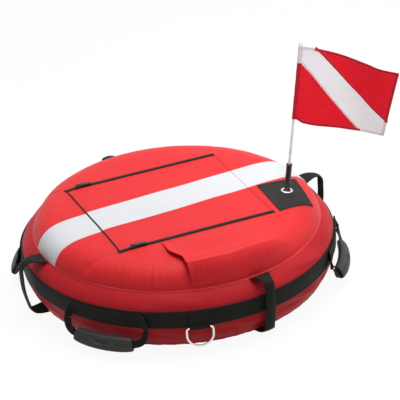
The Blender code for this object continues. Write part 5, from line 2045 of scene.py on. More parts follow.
@dataclass
class Pocket:
    """The side pocket: a panel that stands off the crown and is open at its left end."""

    shape: BuoyShape = SHAPE
    left: float = -0.120
    right: float = 0.136
    zip_offset: float = 0.0095
    seam_start: float = -111.3
    seam_end: float = -64.0
    thickness: float = 0.0012
    crease: float = 0.86
    rise: float = 0.007
    mouth_share: float = 0.88
    mouth_length: float = 0.2
    end_length: float = 0.42
    slope_length: float = 0.25
    hem: float = 0.010
    mouth_bulge: tuple = (0.0065, 0.36, 0.16)
    mouth_hollow: tuple = (0.0060, 0.66, 0.14)
    columns: int = 150
    rows: int = 110

    def place(self, u: Points, v: Points, more: float = 0.0) -> Points:
        """Points of the panel: u from the mouth to the closed end, v from the zip to the seam.

        Args:
            u: Shares from the mouth to the closed end.
            v: Shares from the zip to the seam.
            more: Distance above the panel.

        Returns:
            The points, one row each.
        """
        first, last = (np.array(end) for end in self.shape.zips["front"])
        along = (last - first) / np.linalg.norm(last - first)
        across = np.array([-along[1], along[0]])
        lift = self.shape.face + self.thickness / 2 + more
        x = self.left + (self.right - self.left) * u
        inner = first + along * ((x - first[0]) / along[0])[:, None] - across * self.zip_offset
        angle = np.radians(self.seam_start + (self.seam_end - self.seam_start) * u)
        edge = self.shape.top_seam_radius - self.shape.piping
        outer = np.stack([np.cos(angle), np.sin(angle)], axis=1) * edge
        flat = inner + (outer - inner) * v[:, None]
        near = smoothstep(0.16, 0.0, u)
        flat[:, 0] -= self.mouth_bulge[0] * near * hump(v, *self.mouth_bulge[1:])
        flat[:, 0] += self.mouth_hollow[0] * near * hump(v, *self.mouth_hollow[1:])
        low = self.shape.on_dome(flat[:, 0], flat[:, 1], np.full(len(u), lift))
        swell = self.rise * np.sin(math.pi / 2 * np.minimum(v / self.crease, 1.0))
        crown = self.shape.top_seam_height + self.shape.dome_rise + lift + swell
        fall = np.clip((v - self.crease) / (1.0 - self.crease), 0.0, 1.0)
        crown = crown + (low[:, 2] - crown) * fall**1.3
        end = np.sin(math.pi / 2 * np.minimum((1.0 - u) / self.end_length, 1.0))
        mouth = self.mouth_share + (1.0 - self.mouth_share) * np.minimum(u / self.mouth_length, 1.0)
        share = np.maximum(end, 0.0) * mouth * np.sin(math.pi / 2 * np.minimum(v / self.slope_length, 1.0))
        raise_by = np.maximum(crown - low[:, 2], 0.0) * share
        folds = self.folds(flat[:, 0], flat[:, 1], u, v) * smoothstep(0.0, 0.004, raise_by)
        spots = low.copy()
        spots[:, 2] += raise_by + folds
        return spots

    def folds(self, x: Points, y: Points, u: Points, v: Points) -> Points:
        """The panel's ridge along its crease, and the soft dents above and below it.

        Args:
            x: Places along X.
            y: Places along Y.
            u: Shares from the mouth.
            v: Shares from the zip.

        Returns:
            The folds' height at each place.
        """
        ridge = 0.0026 * hump(v, self.crease - 0.01, 0.020) * smoothstep(0.95, 0.45, u)
        dents = 0.0014 * ripple(x, y, 3.1, 0.085) + 0.0006 * ripple(x, y, 5.3, 0.032)
        sag = -0.0022 * hump(v, 0.55, 0.22) * smoothstep(0.0, 0.25, u) * smoothstep(1.0, 0.5, u)
        lip = 0.0016 * smoothstep(0.05, 0.0, u) * hump(v, 0.40, 0.3)
        return ridge + dents + sag + lip

    def build(self) -> None:
        """Build and dress the panel, its mouth's hem and its stitches."""
        piece = grid("side_pocket_cloth", self.columns, self.rows)
        spots = points_of(piece)
        u, v = spots[:, 0], 1.0 - (1.0 - spots[:, 1]) ** 1.35
        put_points(piece, self.place(u, v))
        face_away(piece, CENTRE)
        thicken(piece, self.thickness, 0.0)
        smoothed(piece)
        dress(piece, RED_TOP, Slot.TOP, replaces=("side_pocket",))

        count = self.columns
        v = np.linspace(0.02, 0.985, count)
        share = self.hem / (self.right - self.left)
        centres = self.place(np.full(count, share / 2), v, 0.0002)
        ahead = self.place(np.full(count, share), v, 0.0002) - centres
        band = ribbon("pocket_mouth_hem", centres, ahead, np.full(count, self.hem), 0.0021, 8)
        dress(band, RED_TOP, Slot.TOP)
        for name, u, v, across in (
            ("pocket_mouth_stitches", np.full(count, share * 0.8), np.linspace(0.03, 0.97, count), ahead),
            (
                "pocket_zip_stitches", np.linspace(0.0, 1.0, count), np.full(count, 0.022),
                np.tile([0.0, 1.0, 0.0], (count, 1))
            ),
        ):
            row = stitch_row(name, self.place(u, v, 0.0009), across, 0.0036, 0.0007)
            dress(row, THREAD_RED, Slot.TOP)


# ---------------------------------------------------------------- flag


@dataclass
class Pole:
    """The leaning pole's line, which the socket, the cap and the flag follow."""

    foot: tuple = (*SHAPE.pole_foot, 0.18516)
    lean: float = 7.5
    towards: float = -5.0
    length: float = 0.356
    radius: float = 0.003

    def axis(self) -> Vector:
        """Unit vector up the pole."""
        lean, towards = math.radians(self.lean), math.radians(self.towards)
        return Vector(
            (math.sin(lean) * math.cos(towards), math.sin(lean) * math.sin(towards), math.cos(lean))
        )

    def frame(self, distance: float = 0.0) -> Matrix:
        """A place on the pole, its Z up the pole."""
        return Matrix.Translation(Vector(self.foot) + self.axis() * distance) @ upright_on(self.axis())


@dataclass
class FlagStand:
    """The patch, the grommet, the rubber socket, the pole and its cap."""

    shape: BuoyShape = SHAPE
    pole: Pole = field(default_factory=Pole)
    corners: tuple = ((0.184, -0.053), (0.167, -0.187), (0.258, -0.178), (0.280, -0.066))
    patch: float = 0.0014
    hem: float = 0.006
    hem_rise: float = 0.0007
    stitch_inset: float = 0.045
    columns: int = 60
    rows: int = 72
    socket_radius: float = 0.00675
    socket_height: float = 0.066
    flange_top: float = 0.17896
    bore: float = 0.0090
    rim: float = 0.0140

    def build(self) -> None:
        """Build and dress every piece of the stand."""
        self.cloth_patch()
        self.grommet()
        self.socket()
        self.rod_and_cap()

    def at(self, u: Points, v: Points, lift: float | Points) -> Points:
        """Points on the patch: u from its left side to its right, v from back to front.

        Args:
            u: Shares from the left side.
            v: Shares from the back.
            lift: Height above the cloth's middle.

        Returns:
            The points, one row each.
        """
        a, b, c, d = (np.array(corner) for corner in self.corners)
        flat = (
            a * (
                (1 - u) * (1 - v)
            )[:, None] + b * ((1 - u) * v)[:, None] + c * (u * v)[:, None] + d * (u * (1 - v))[:, None]
        )
        return self.shape.on_dome(flat[:, 0], flat[:, 1], np.zeros(len(u)) + lift)

    def cloth_patch(self) -> None:
        """The patch with a turned hem, the hole for the grommet and stitches round it."""
        piece = grid("flag_patch_cloth", self.columns, self.rows)
        spots = points_of(piece)
        u, v = spots[:, 0], spots[:, 1]
        border = np.minimum(np.minimum(u, 1 - u) * 0.092, np.minimum(v, 1 - v) * 0.125)
        hem = smoothstep(self.hem + 0.0016, self.hem, border)
        lift = (
            self.shape.face + self.patch * 0.55 + self.hem_rise * hem
            + 0.0003 * ripple(u * 0.1, v * 0.1, 4.0, 0.03)
        )
        put_points(piece, self.at(u, v, lift))
        face_away(piece, CENTRE)
        foot = Vector(self.pole.foot)
        without_faces(
            piece, lambda middle: math.hypot(middle.x - foot.x, middle.y - foot.y) < self.bore + 0.0012
        )
        thicken(piece, self.patch)
        rounded(piece, 0.0004, 2, 60)
        dress(smoothed(piece), BLACK_PATCH, Slot.BLACK_CLOTH, replaces=("flag_patch",))
        inset = self.stitch_inset
        corners = [
            (inset, inset), (inset, 1 - inset), (1 - inset, 1 - inset), (1 - inset, inset), (inset, inset)
        ]
        for index, (start, end) in enumerate(zip(corners, corners[1:])):
            u, v = straight(start, end, self.columns)
            centres = self.at(u, v, self.shape.face + self.patch * 0.55 + self.hem_rise)
            across = np.cross(np.tile([0.0, 0.0, 1.0], (self.columns, 1)), np.gradient(centres, axis=0))
            dress(
                stitch_row(f"patch_stitches_{index}", centres, across, 0.0038, 0.0008), THREAD_BLACK,
                Slot.BLACK_CLOTH
            )

    def grommet(self) -> None:
        """The steel grommet with its rolled rim, tilted to lie flat on the patch."""
        x, y, z = self.pole.foot
        radius = math.hypot(x, y)
        step = 0.001
        rise = (
            self.shape.dome_height(np.array(radius + step))
            - self.shape.dome_height(np.array(radius - step))
        )
        slope = float(rise) / (2 * step)
        axis = Vector((-slope * x / radius, -slope * y / radius, 1.0)).normalized()
        place = Matrix.Translation((x, y, z)) @ upright_on(axis)
        profile = [
            (self.bore, -0.0042), (self.bore, 0.0006), (self.bore + 0.0006, 0.0014),
            (self.bore + 0.0018, 0.0018),
            (self.bore + 0.0032, 0.0016), (self.rim - 0.0006, 0.0009), (self.rim, 0.0003),
            (self.rim - 0.0004, -0.0001),
            (self.bore + 0.0010, -0.0001), (self.bore + 0.0008, -0.0042),
        ]
        piece = spun_along("patch_grommet_ring", profile, 64, place, closed=True)
        dress(piece, STEEL, Slot.STEEL, replaces=("patch_grommet",))

    def socket(self) -> None:
        """The rubber tube with its lip, its ribs near the foot and the flange under the cloth."""
        low = (self.flange_top - self.pole.foot[2]) / self.pole.axis().z - 0.003
        out, bore, top = self.socket_radius, self.pole.radius + 0.0003, self.socket_height
        profile = [
            (bore, top), (bore + 0.0004, top + 0.0004), (out - 0.0010, top + 0.0004),
            (out + 0.0002, top - 0.0006),
            (out + 0.0003, top - 0.0040), (out - 0.0002, top - 0.0052), (out - 0.0003, 0.016),
        ]
        for rib in (0.014, 0.010, 0.006):
            profile += [
                (out, rib + 0.0004), (out + 0.0002, rib), (out, rib - 0.0004), (out - 0.0003, rib - 0.0014)
            ]
        profile += [
            (out, 0.0), (out, low + 0.0032), (0.0186, low + 0.0030), (0.019, low + 0.0022),
            (0.019, low + 0.0008),
            (0.0184, low), (bore, low), (bore, low + 0.0014),
        ]
        piece = spun_along("pole_socket_tube", profile, 48, self.pole.frame(), closed=True)
        dress(piece, SOCKET_RUBBER, Slot.SOCKET, replaces=("pole_socket",))

    def rod_and_cap(self) -> None:
        """The fibreglass rod and its moulded cap."""
        r, top = self.pole.radius, self.pole.length
        low = -0.0050
        profile = [
            (0.0, low), (r - 0.0004, low), (r, low + 0.0004), (r, top - 0.0004), (r - 0.0004, top),
            (0.0, top)
        ]
        rod = spun_along("flag_pole_rod", profile, 32, self.pole.frame())
        dress(rod, POLE_GLASS, Slot.POLE, replaces=("flag_pole",))
        wide, tip = r + 0.0015, top + 0.0015
        profile = [
            (r + 0.0003, top - 0.008), (wide - 0.0002, top - 0.008), (wide, top - 0.0076),
            (wide, top - 0.0064),
            (wide - 0.0003, top - 0.0060), (wide - 0.0003, tip - 0.0016), (wide - 0.0008, tip - 0.0006),
            (wide - 0.0022, tip), (0.0, tip + 0.0002),
        ]
        cap = spun("pole_cap_moulding", profile, 32)
        face_away(cap, (0.0, 0.0, top - 0.004))
        thicken(cap, 0.0004)
        moved(cap, self.pole.frame())
        dress(smoothed(cap), POLE_GLASS, Slot.POLE, replaces=("pole_cap",))


@dataclass
class Flag:
    """The flag's three sewn panels with their hems, stitches and sleeve."""

    pole: Pole = field(default_factory=Pole)
    length: float = 0.218
    height: float = 0.172
    foot: float = 0.176
    yaw: float = -48.0
    thickness: float = 0.0007
    hem: float = 0.0065
    columns: int = 110
    rows: int = 86
    steps: int = 120
    least_share: float = 0.301
    hem_thickness: float = 0.0008
    allowance: tuple = (0.0022, 0.0042, -0.0006)
    waves: tuple = (
        (0.0, 0.0, 0.0), (0.16, -0.0037, 0.0), (0.40, -0.0002, -0.0037), (0.65, 0.0195, -0.0050),
        (0.816, 0.0347, -0.0065), (1.0, 0.0300, -0.0123),
    )
    upper: tuple = ((0.027, 0.172), (0.218, 0.0376))
    lower: tuple = ((0.0, 0.133), (0.160, 0.0))

    def axes(self) -> tuple[Points, Points, Points]:
        """Unit vectors up the pole, along the flag and out of its face.

        Returns:
            The three vectors.
        """
        axis = np.array(self.pole.axis())
        yaw = math.radians(self.yaw)
        out = np.array([math.cos(yaw), math.sin(yaw), 0.0])
        out = unit((out - axis * out.dot(axis))[None])[0]
        return axis, out, np.cross(out, axis)

    def place(self, x: Points, y: Points, lift: float = 0.0) -> Points:
        """Points of the flag from their place in the flat cloth; lift is towards the front.

        Args:
            x: Distance from the pole in the flat cloth.
            y: Height above its foot.
            lift: Distance off its middle layer.

        Returns:
            The points, one row each.
        """
        axis, out, face = self.axes()
        share, up = np.maximum(x / self.length, 0.0), np.clip(y / self.height, 0.0, 1.0)
        far = smoothstep(0.16, 0.86, share)
        reach = 0.0044 + x * (0.915 + 0.120 * up)
        line = curve_through(self.waves, 12)
        top, foot = (np.interp(share, line[:, 0], line[:, column]) for column in (1, 2))
        depth = top * up + foot * (1.0 - up)
        wave = (
            0.0030 * np.sin(math.pi * (3.1 * share - 0.6)) * 4.0 * up * (1.0 - up)
            * smoothstep(0.02, 0.20, share)
        )
        small = 0.0009 * ripple(x, y, 6.2, 0.07) * smoothstep(0.0, 0.1, share)
        turn = 0.05 * far
        shorter = (self.height - np.sqrt(self.height**2 - turn**2)) * (1.0 - up)
        sag = (
            0.0124 * share**1.5
            + 0.0065 * (1.0 - up) ** 3 * smoothstep(0.0, 0.09, share) * smoothstep(0.55, 0.15, share)
        )
        base = np.array(self.pole.frame(self.foot).translation)
        spots = (
            base + axis * (y + shorter)[:, None] + out * reach[:, None]
            + face * (depth + wave + small)[:, None]
        )
        spots[:, 2] -= sag
        if lift:
            step = 0.0005
            right = self.place(x + step, y) - spots
            above = self.place(x, y + step) - spots
            spots = spots + unit(np.cross(right, above)) * lift
        return spots

    def panel(
        self, name: str, node: str, keep: Sequence[tuple], material: Material, slot: Slot
    ) -> None:
        """One sewn panel, cut from the flat cloth along its seams and then hung.

        Args:
            name: The piece's name.
            node: The CAD node that it stands for.
            keep: The seams, each with whether the panel lies above it.
            material: Its finish.
            slot: Its slot.
        """
        piece = grid(name, self.columns, self.rows)
        put_points(piece, points_of(piece) * (self.length, self.height, 1.0))
        edit(piece)
        for (start, end), above in keep:
            line = Vector(end) - Vector(start)
            out = Vector((line.y, -line.x, 0.0)) * (1 if above else -1)
            bpy.ops.mesh.select_all(action="SELECT")
            bpy.ops.mesh.bisect(plane_co=(*start, 0.0), plane_no=out, clear_outer=True, threshold=MERGE)
        done()
        lay_map(piece, lambda spots: spots[:, :2])
        spots = points_of(piece)
        put_points(piece, self.place(spots[:, 0], spots[:, 1]))
        thicken(piece, self.thickness, 0.0)
        dress(smoothed(piece, 70), material, slot, replaces=(node,))

    def strip(self, name: str, start: Spot, end: Spot, width: float, finish: tuple, lift: float) -> None:
        """A hem or seam allowance along a straight line of the flat cloth, on both faces.

        Args:
            name: The piece's name.
            start: Its start in the flat cloth.
            end: Its end.
            width: Its width.
            finish: Its material and slot.
            lift: Half its thickness.
        """
        x, y = straight(start, end, self.steps)
        along = np.array(end) - np.array(start)
        side = np.array([-along[1], along[0]]) / np.linalg.norm(along) * 0.001
        material, slot = finish
        centres = self.place(x, y)
        across = self.place(x + side[0], y + side[1]) - centres
        piece = ribbon(name, centres, across, np.full(self.steps, width), 2 * lift, 4)
        dress(piece, material, slot)

    def row(self, name: str, start: Spot, end: Spot, lift: float, finish: tuple) -> None:
        """A row of stitches along a straight line of the flat cloth.

        Args:
            name: The row's name.
            start: Its start in the flat cloth.
            end: Its end.
            lift: Distance off the cloth's middle layer.
            finish: Its material and slot.
        """
        x, y = straight(start, end, self.steps)
        along = np.array(end) - np.array(start)
        side = np.array([-along[1], along[0]]) / np.linalg.norm(along) * 0.001
        for face, sign in (("front", 1.0), ("back", -1.0)):
            centres = self.place(x, y, sign * lift)
            across = (self.place(x + side[0], y + side[1], sign * lift) - centres) * sign
            dress(stitch_row(f"{name}_{face}", centres, across, 0.0036, 0.0006), *finish)

    def build(self) -> None:
        """Build and dress the whole flag."""
        self.panel(
            "flag_red_upper_cloth", "flag_red_upper", [(self.upper, True)], FLAG_RED, Slot.FLAG_RED,
        )
        self.panel(
            "flag_white_cloth", "flag_white_band", [(self.upper, False), (self.lower, True)], FLAG_WHITE,
            Slot.FLAG_WHITE,
        )
        self.panel(
            "flag_red_lower_cloth", "flag_red_lower", [(self.lower, False)], FLAG_RED, Slot.FLAG_RED,
        )
        self.hems()
        self.sleeve()

    def hems(self) -> None:
        """The turned hems, the seams' allowances and their stitches."""
        half, thick = self.hem / 2, self.hem_thickness
        length, height = self.length, self.height
        (ux, _), (_, vy) = self.upper
        mx = self.lower[1][0]
        # The hem and seam-allowance strips take the darker hem finishes, whose colour paints the shade of
        # the folded layers.
        red, white = (FLAG_HEM_RED_PAINTED_SHADE, Slot.FLAG_RED), (FLAG_HEM_WHITE_PAINTED_SHADE, Slot.FLAG_WHITE)
        stitch_red, stitch_white = (THREAD_FLAG, Slot.FLAG_RED), (THREAD_WHITE, Slot.FLAG_WHITE)
        for name, start, end, finish in (
            ("flag_top_hem_white", (0.0, height - half), (ux, height - half), white),
            ("flag_top_hem_red", (ux, height - half), (length, height - half), red),
            ("flag_fly_hem_red", (length - half, vy), (length - half, height), red),
            ("flag_fly_hem_white", (length - half, 0.0), (length - half, vy), white),
            ("flag_foot_hem_white", (mx, half), (length, half), white),
            ("flag_foot_hem_red", (0.0, half), (mx, half), red),
        ):
            self.strip(name, start, end, self.hem, finish, thick)
        for name, start, end, finish in (
            ("flag_top_stitches", (ux, height - self.hem), (length - 0.006, height - self.hem), stitch_red),
            ("flag_fly_stitches", (length - self.hem, vy), (length - self.hem, height - 0.006), stitch_red),
            ("flag_foot_stitches", (0.004, self.hem), (mx, self.hem), stitch_red),
            ("flag_foot_white_stitches", (mx, self.hem), (length - 0.006, self.hem), stitch_white),
            ("flag_top_white_stitches", (0.004, height - self.hem), (ux, height - self.hem), stitch_white),
        ):
            self.row(name, start, end, thick + 0.0001, finish)
        for index, (line, finish) in enumerate(((self.upper, red), (self.lower, white))):
            start, end = np.array(line[0]), np.array(line[1])
            normal = np.array([-(end - start)[1], (end - start)[0]]) / np.linalg.norm(end - start)
            shift = normal * self.allowance[0]
            self.strip(f"flag_seam_{index}_0", start + shift, end + shift, 0.0050, finish, 0.0006)
            for order, offset in enumerate(self.allowance[1:]):
                shift = normal * offset
                stitch = stitch_white if order == 1 or index == 1 else stitch_red
                self.row(f"flag_seam_stitches_{index}_{order}", start + shift, end + shift, 0.0007, stitch)

    def sleeve(self) -> None:
        """The sleeve that the pole runs through, as an open tube in two halves, and its stitches."""
        radius = self.pole.radius + 0.0003
        top = self.foot + self.height
        split = self.foot + self.lower[0][1]
        # The sleeve's halves take the darker hem finishes, with their painted shade.
        for name, low, high, finish, replaced in (
            ("flag_sleeve_red", self.foot, split, (FLAG_HEM_RED_PAINTED_SHADE, Slot.FLAG_RED), ("flag_sleeve",)),
            ("flag_sleeve_white", split, top, (FLAG_HEM_WHITE_PAINTED_SHADE, Slot.FLAG_WHITE), ()),
        ):
            profile = [
                (radius + 0.0006 + 0.0002 * math.sin(index * 1.9), h)
                for index, h in enumerate(spaced(low, high, 14))
            ]
            piece = spun(name, profile, 40)
            face_away(piece, (0.0, 0.0, (low + high) / 2))
            spots = points_of(piece)
            _, out, _ = self.axes()
            turn = self.pole.frame().to_3x3().inverted()
            local = np.array(turn @ Vector(out))
            reach = np.clip(spots[:, :2] @ local[:2] / radius, 0.0, 1.2)
            spots[:, :2] += local[:2] * (0.0016 * reach**2)[:, None]
            put_points(piece, spots)
            thicken(piece, 0.0005)
            moved(piece, self.pole.frame())
            dress(smoothed(piece), *finish, replaces=replaced)
        self.row(
            "flag_sleeve_stitches", (0.0016, 0.004), (0.0016, self.height - 0.004), 0.0006,
            (THREAD_FLAG, Slot.FLAG_RED)
        )


# ---------------------------------------------------------------- handles and rings


@dataclass
class Handles:
    """The four handles: a webbing loop sewn on the belt, through a moulded grip."""

    shape: BuoyShape = SHAPE
    angles: dict = field(default_factory=lambda: {
        "front_left": -142.5, "front_right": -35.0, "back_right": 37.5, "back_left": 145.0,
    })
    sewn: float = 0.152
    span: float = 0.182
    width: float = 0.030
    thickness: float = 0.0018
    drop: float = 0.053
    stand_out: float = 0.020
    tilt: float = -35.0
    leg_shares: tuple = (
        (0.18, 0.19, 0.075, 0.10), (0.00, 0.45, 0.320, 0.35), (0.07, 0.70, 0.660, 0.65),
        (0.39, 0.83, 0.850, 0.85), (1.00, 0.87, 0.953, 1.00),
    )
    bow_shares: tuple = (0.97, 0.989)
    grip: float = 0.130
    grip_width: float = 0.034
    grip_depth: float = 0.019
    end_share: float = 0.86
    channel: tuple = (0.0136, 0.0015)
    belt_face: float = 0.3625
    box: tuple = (0.040, 0.070, 0.0115)
    box_steps: int = 40
    stud_count: int = 4
    stud_end: float = 0.0560
    stud_pitch: float = 0.0078
    gather: float = 0.0145

    def route(self) -> Points:
        """The loop as rows of way along the belt, out from it, height and twist.

        Returns:
            The closed loop's rows.
        """
        near = self.thickness / 2 + 0.0003
        leg, grip = self.span / 2, self.grip / 2
        way_out = self.stand_out - near
        half = [(self.sewn / 6 * step, near, self.shape.belt_height, 0.0) for step in (1, 2, 3)]
        for inwards, out, down, twist in self.leg_shares:
            way = leg - (leg - grip) * inwards
            half.append(
                (way, near + way_out * out, self.shape.belt_height - self.drop * down, self.tilt * twist)
            )
        out, down = self.bow_shares
        half.append((grip / 2, near + way_out * out, self.shape.belt_height - self.drop * down, self.tilt))
        other = [(-way, out, height, twist) for way, out, height, twist in reversed(half)]
        lowest = (0.0, self.stand_out, self.shape.belt_height - self.drop, self.tilt)
        return curve_through(
            [*half, lowest, *other, (0.0, near, self.shape.belt_height, 0.0)], 12, cyclic=True
        )

    def spread(self, angle: float, rows: Points) -> tuple[Points, Points, Points]:
        """Points of the loop, its width direction and the direction out of the buoy there.

        Args:
            angle: The handle's angle.
            rows: Rows of the route.

        Returns:
            The points, the width directions and the outward ones.
        """
        turn = math.radians(angle) + rows[:, 0] / self.shape.belt_radius
        out = np.stack([np.cos(turn), np.sin(turn), np.zeros(len(rows))], axis=1)
        spots = out * (self.belt_face + rows[:, 1])[:, None]
        spots[:, 2] = rows[:, 2]
        twist = np.radians(rows[:, 3])[:, None]
        return spots, np.array([0.0, 0.0, 1.0]) * np.cos(twist) + out * np.sin(twist), out

    def build(self) -> None:
        """Build and dress the four handles."""
        for side, angle in self.angles.items():
            self.webbing(side, angle)
            self.moulding(side, angle)

    def webbing(self, side: str, angle: float) -> None:
        """The webbing loop and the boxes of stitches that hold it on the belt.

        Args:
            side: Which handle.
            angle: Its angle.
        """
        rows = self.route()
        start = int(np.argmin(np.abs(rows[:, 0]) + np.abs(rows[:, 2] - self.shape.belt_height + self.drop)))
        rows = np.roll(rows, -start, axis=0)
        down = (self.shape.belt_height - rows[:, 2]) / self.drop
        spots, across, _ = self.spread(angle, rows)
        inside = smoothstep(0.068, 0.060, np.abs(rows[:, 0])) * (down > 0.8)
        gathered = smoothstep(0.0, 0.10, down) * (1.0 - inside)
        widths = self.width - 0.0045 * inside - self.gather * gathered
        piece = ribbon(f"{side}_handle_loop", spots, across, widths, self.thickness, 8)
        dress(piece, HANDLE_WEB, Slot.WEBBING, replaces=(f"{side}_handle_webbing",))
        near, far, up = self.box
        for end, sign in (("left", -1.0), ("right", 1.0)):
            a, b, c, d = (near, up), (far, up), (far, -up), (near, -up)
            for index, (first, last) in enumerate(((a, b), (b, c), (c, d), (d, a), (a, c), (b, d))):
                way, rise = straight(first, last, self.box_steps)
                lift = np.full(self.box_steps, self.thickness + 0.0004)
                height = self.shape.belt_height + rise
                row = np.stack([sign * way, lift, height, np.zeros(self.box_steps)], axis=1)
                centres, _, out = self.spread(angle, row)
                across = np.cross(out, np.gradient(centres, axis=0))
                dress(
                    stitch_row(f"{side}_box_{end}_{index}", centres, across, 0.0034, 0.0008), THREAD_BLACK,
                    Slot.WEBBING
                )

    def low_frames(self, angle: float, ways: Points) -> tuple[Points, Points, Points]:
        """Points, width directions and outward directions along the loop's low stretch.

        Args:
            angle: The handle's angle.
            ways: Distances from the grip's middle.

        Returns:
            The points and both directions at each.
        """
        rows = self.route()
        rows = rows[rows[:, 2] < self.shape.belt_height - self.drop * 0.8]
        rows = rows[np.argsort(rows[:, 0])]
        read = np.stack([ways] + [np.interp(ways, rows[:, 0], rows[:, axis]) for axis in (1, 2, 3)], axis=1)
        spots, across, out = self.spread(angle, read)
        ahead = read + np.array([0.0005, 0.0, 0.0, 0.0])
        for axis in (1, 2, 3):
            ahead[:, axis] = np.interp(ahead[:, 0], rows[:, 0], rows[:, axis])
        along = unit(self.spread(angle, ahead)[0] - spots)
        across = unit(across - along * (across * along).sum(1, keepdims=True))
        outwards = np.cross(along, across)
        return spots, across, outwards * np.sign((outwards * out).sum(1, keepdims=True))

    def moulding(self, side: str, angle: float) -> None:
        """The hollow grip: outer wall, rounded ends and the channel for the webbing, in one skin.

        Args:
            side: Which handle.
            angle: Its angle.
        """
        reach = self.grip / 2
        outer = [
            (way, 1.0 - (1.0 - self.end_share) * min(abs(way) / reach, 1.0) ** 4, 0.0)
            for way in spaced(-reach + 0.003, reach - 0.003, 120)
        ]
        round_end = [
            (reach - 0.0016, 0.850, 0.0), (reach - 0.0005, 0.820, 0.0), (reach, 0.760, 0.0),
            (reach, 0.5, 0.6), (reach - 0.001, 0.4, 1.0),
        ]
        channel = [(way, 0.4, 1.0) for way in spaced(reach - 0.012, -reach + 0.012, 20)]
        round_start = [(-way, size, inner) for way, size, inner in reversed(round_end)]
        stations = np.array([*outer, *round_end, *channel, *round_start])
        rows, columns = len(stations), 72
        piece = grid(f"{side}_grip_moulding", columns, rows)
        spots = points_of(piece)
        step = np.rint(spots[:, 1] * rows).astype(int) % rows
        turn = (spots[:, 0] % 1.0) * math.tau
        way, size, inner = stations[step, 0], stations[step, 1], stations[step, 2]
        wide, deep = np.cos(turn), np.sin(turn)
        power = 2 / 2.8
        a = squared(wide, power) * self.grip_width / 2 * size
        b = squared(deep, power) * self.grip_depth / 2 * size
        slot_a = squared(wide, 0.25) * self.channel[0]
        slot_b = squared(deep, 0.25) * self.channel[1]
        b = b + self.relief(way, a, b, size) * (1.0 - inner)
        a, b = a + (slot_a - a) * inner, b + (slot_b - b) * inner
        point, across, outwards = self.low_frames(angle, stations[:, 0])
        put_points(piece, point[step] + across[step] * a[:, None] + outwards[step] * b[:, None])
        edit(piece)
        bpy.ops.mesh.remove_doubles(threshold=MERGE)
        bpy.ops.mesh.normals_make_consistent(inside=False)
        done()
        dress(smoothed(piece, 60), GRIP_PLASTIC, Slot.GRIP, replaces=(f"{side}_handle_grip",))
        self.studs(side, angle)

    def relief(self, way: Points, a: Points, b: Points, size: Points) -> Points:
        """The outer face's oval recess, its raised end fields and the ridge along its upper edge.

        Args:
            way: Distances from the grip's middle.
            a: Places across it.
            b: Places out of it.
            size: The section's share of full size.

        Returns:
            The relief at each place.
        """
        front = smoothstep(0.0, self.grip_depth * 0.30, b)
        high = a / (self.grip_width / 2 * size)
        oval = np.sqrt((way / 0.019) ** 2 + ((high + 0.12) / 0.34) ** 2)
        recess = -0.0034 * smoothstep(1.0, 0.66, oval)
        frame_edge = 0.0005 * hump(oval, 1.12, 0.10)
        field_edge = np.maximum(np.abs(np.abs(way) - 0.043) / 0.0195, np.abs(high + 0.12) / 0.50)
        fields = -0.0007 * smoothstep(1.0, 0.90, field_edge)
        ridge = 0.0010 * hump(high, 0.52, 0.09) * smoothstep(0.99, 0.85, np.abs(way) / 0.065)
        return front * (recess + frame_edge + fields + ridge)

    def studs(self, side: str, angle: float) -> None:
        """The small round studs near both ends of the grip, one modelled and the rest copied.

        Args:
            side: Which handle.
            angle: Its angle.
        """
        profile = [
            (0.0, -0.0010), (0.0011, -0.0009), (0.0016, -0.0002), (0.0019, 0.0004), (0.0022, 0.0002),
            (0.0024, -0.0006),
        ]
        first = spun("stud", profile, 20)
        face_away(first, (0.0, 0.0, -0.01))
        thicken(first, 0.0005)
        steps = [self.stud_end - self.stud_pitch * index for index in range(self.stud_count)]
        ways = np.array([sign * step for sign in (-1.0, 1.0) for step in steps])
        point, across, outwards = self.low_frames(angle, ways)
        size = 1.0 - (1.0 - self.end_share) * (np.abs(ways) / (self.grip / 2)) ** 4
        places = point + outwards * (self.grip_depth / 2 * size * 0.995 - 0.0007)[:, None] - across * 0.0020
        pieces = []
        for index, place in enumerate(places):
            twin = copy_of(first, f"{side}_stud_{index}")
            along = np.cross(across[index], outwards[index])
            turn = Matrix(
                (tuple(across[index]), tuple(along), tuple(outwards[index]))
            ).transposed().to_4x4()
            pieces.append(moved(twin, Matrix.Translation(place) @ turn))
        bpy.data.objects.remove(first, do_unlink=True)
        # The dimples are dressed near black, as painted shade.
        dress(smoothed(joined(pieces, f"{side}_grip_studs")), GRIP_DIMPLE_PAINTED_SHADE, Slot.GRIP)


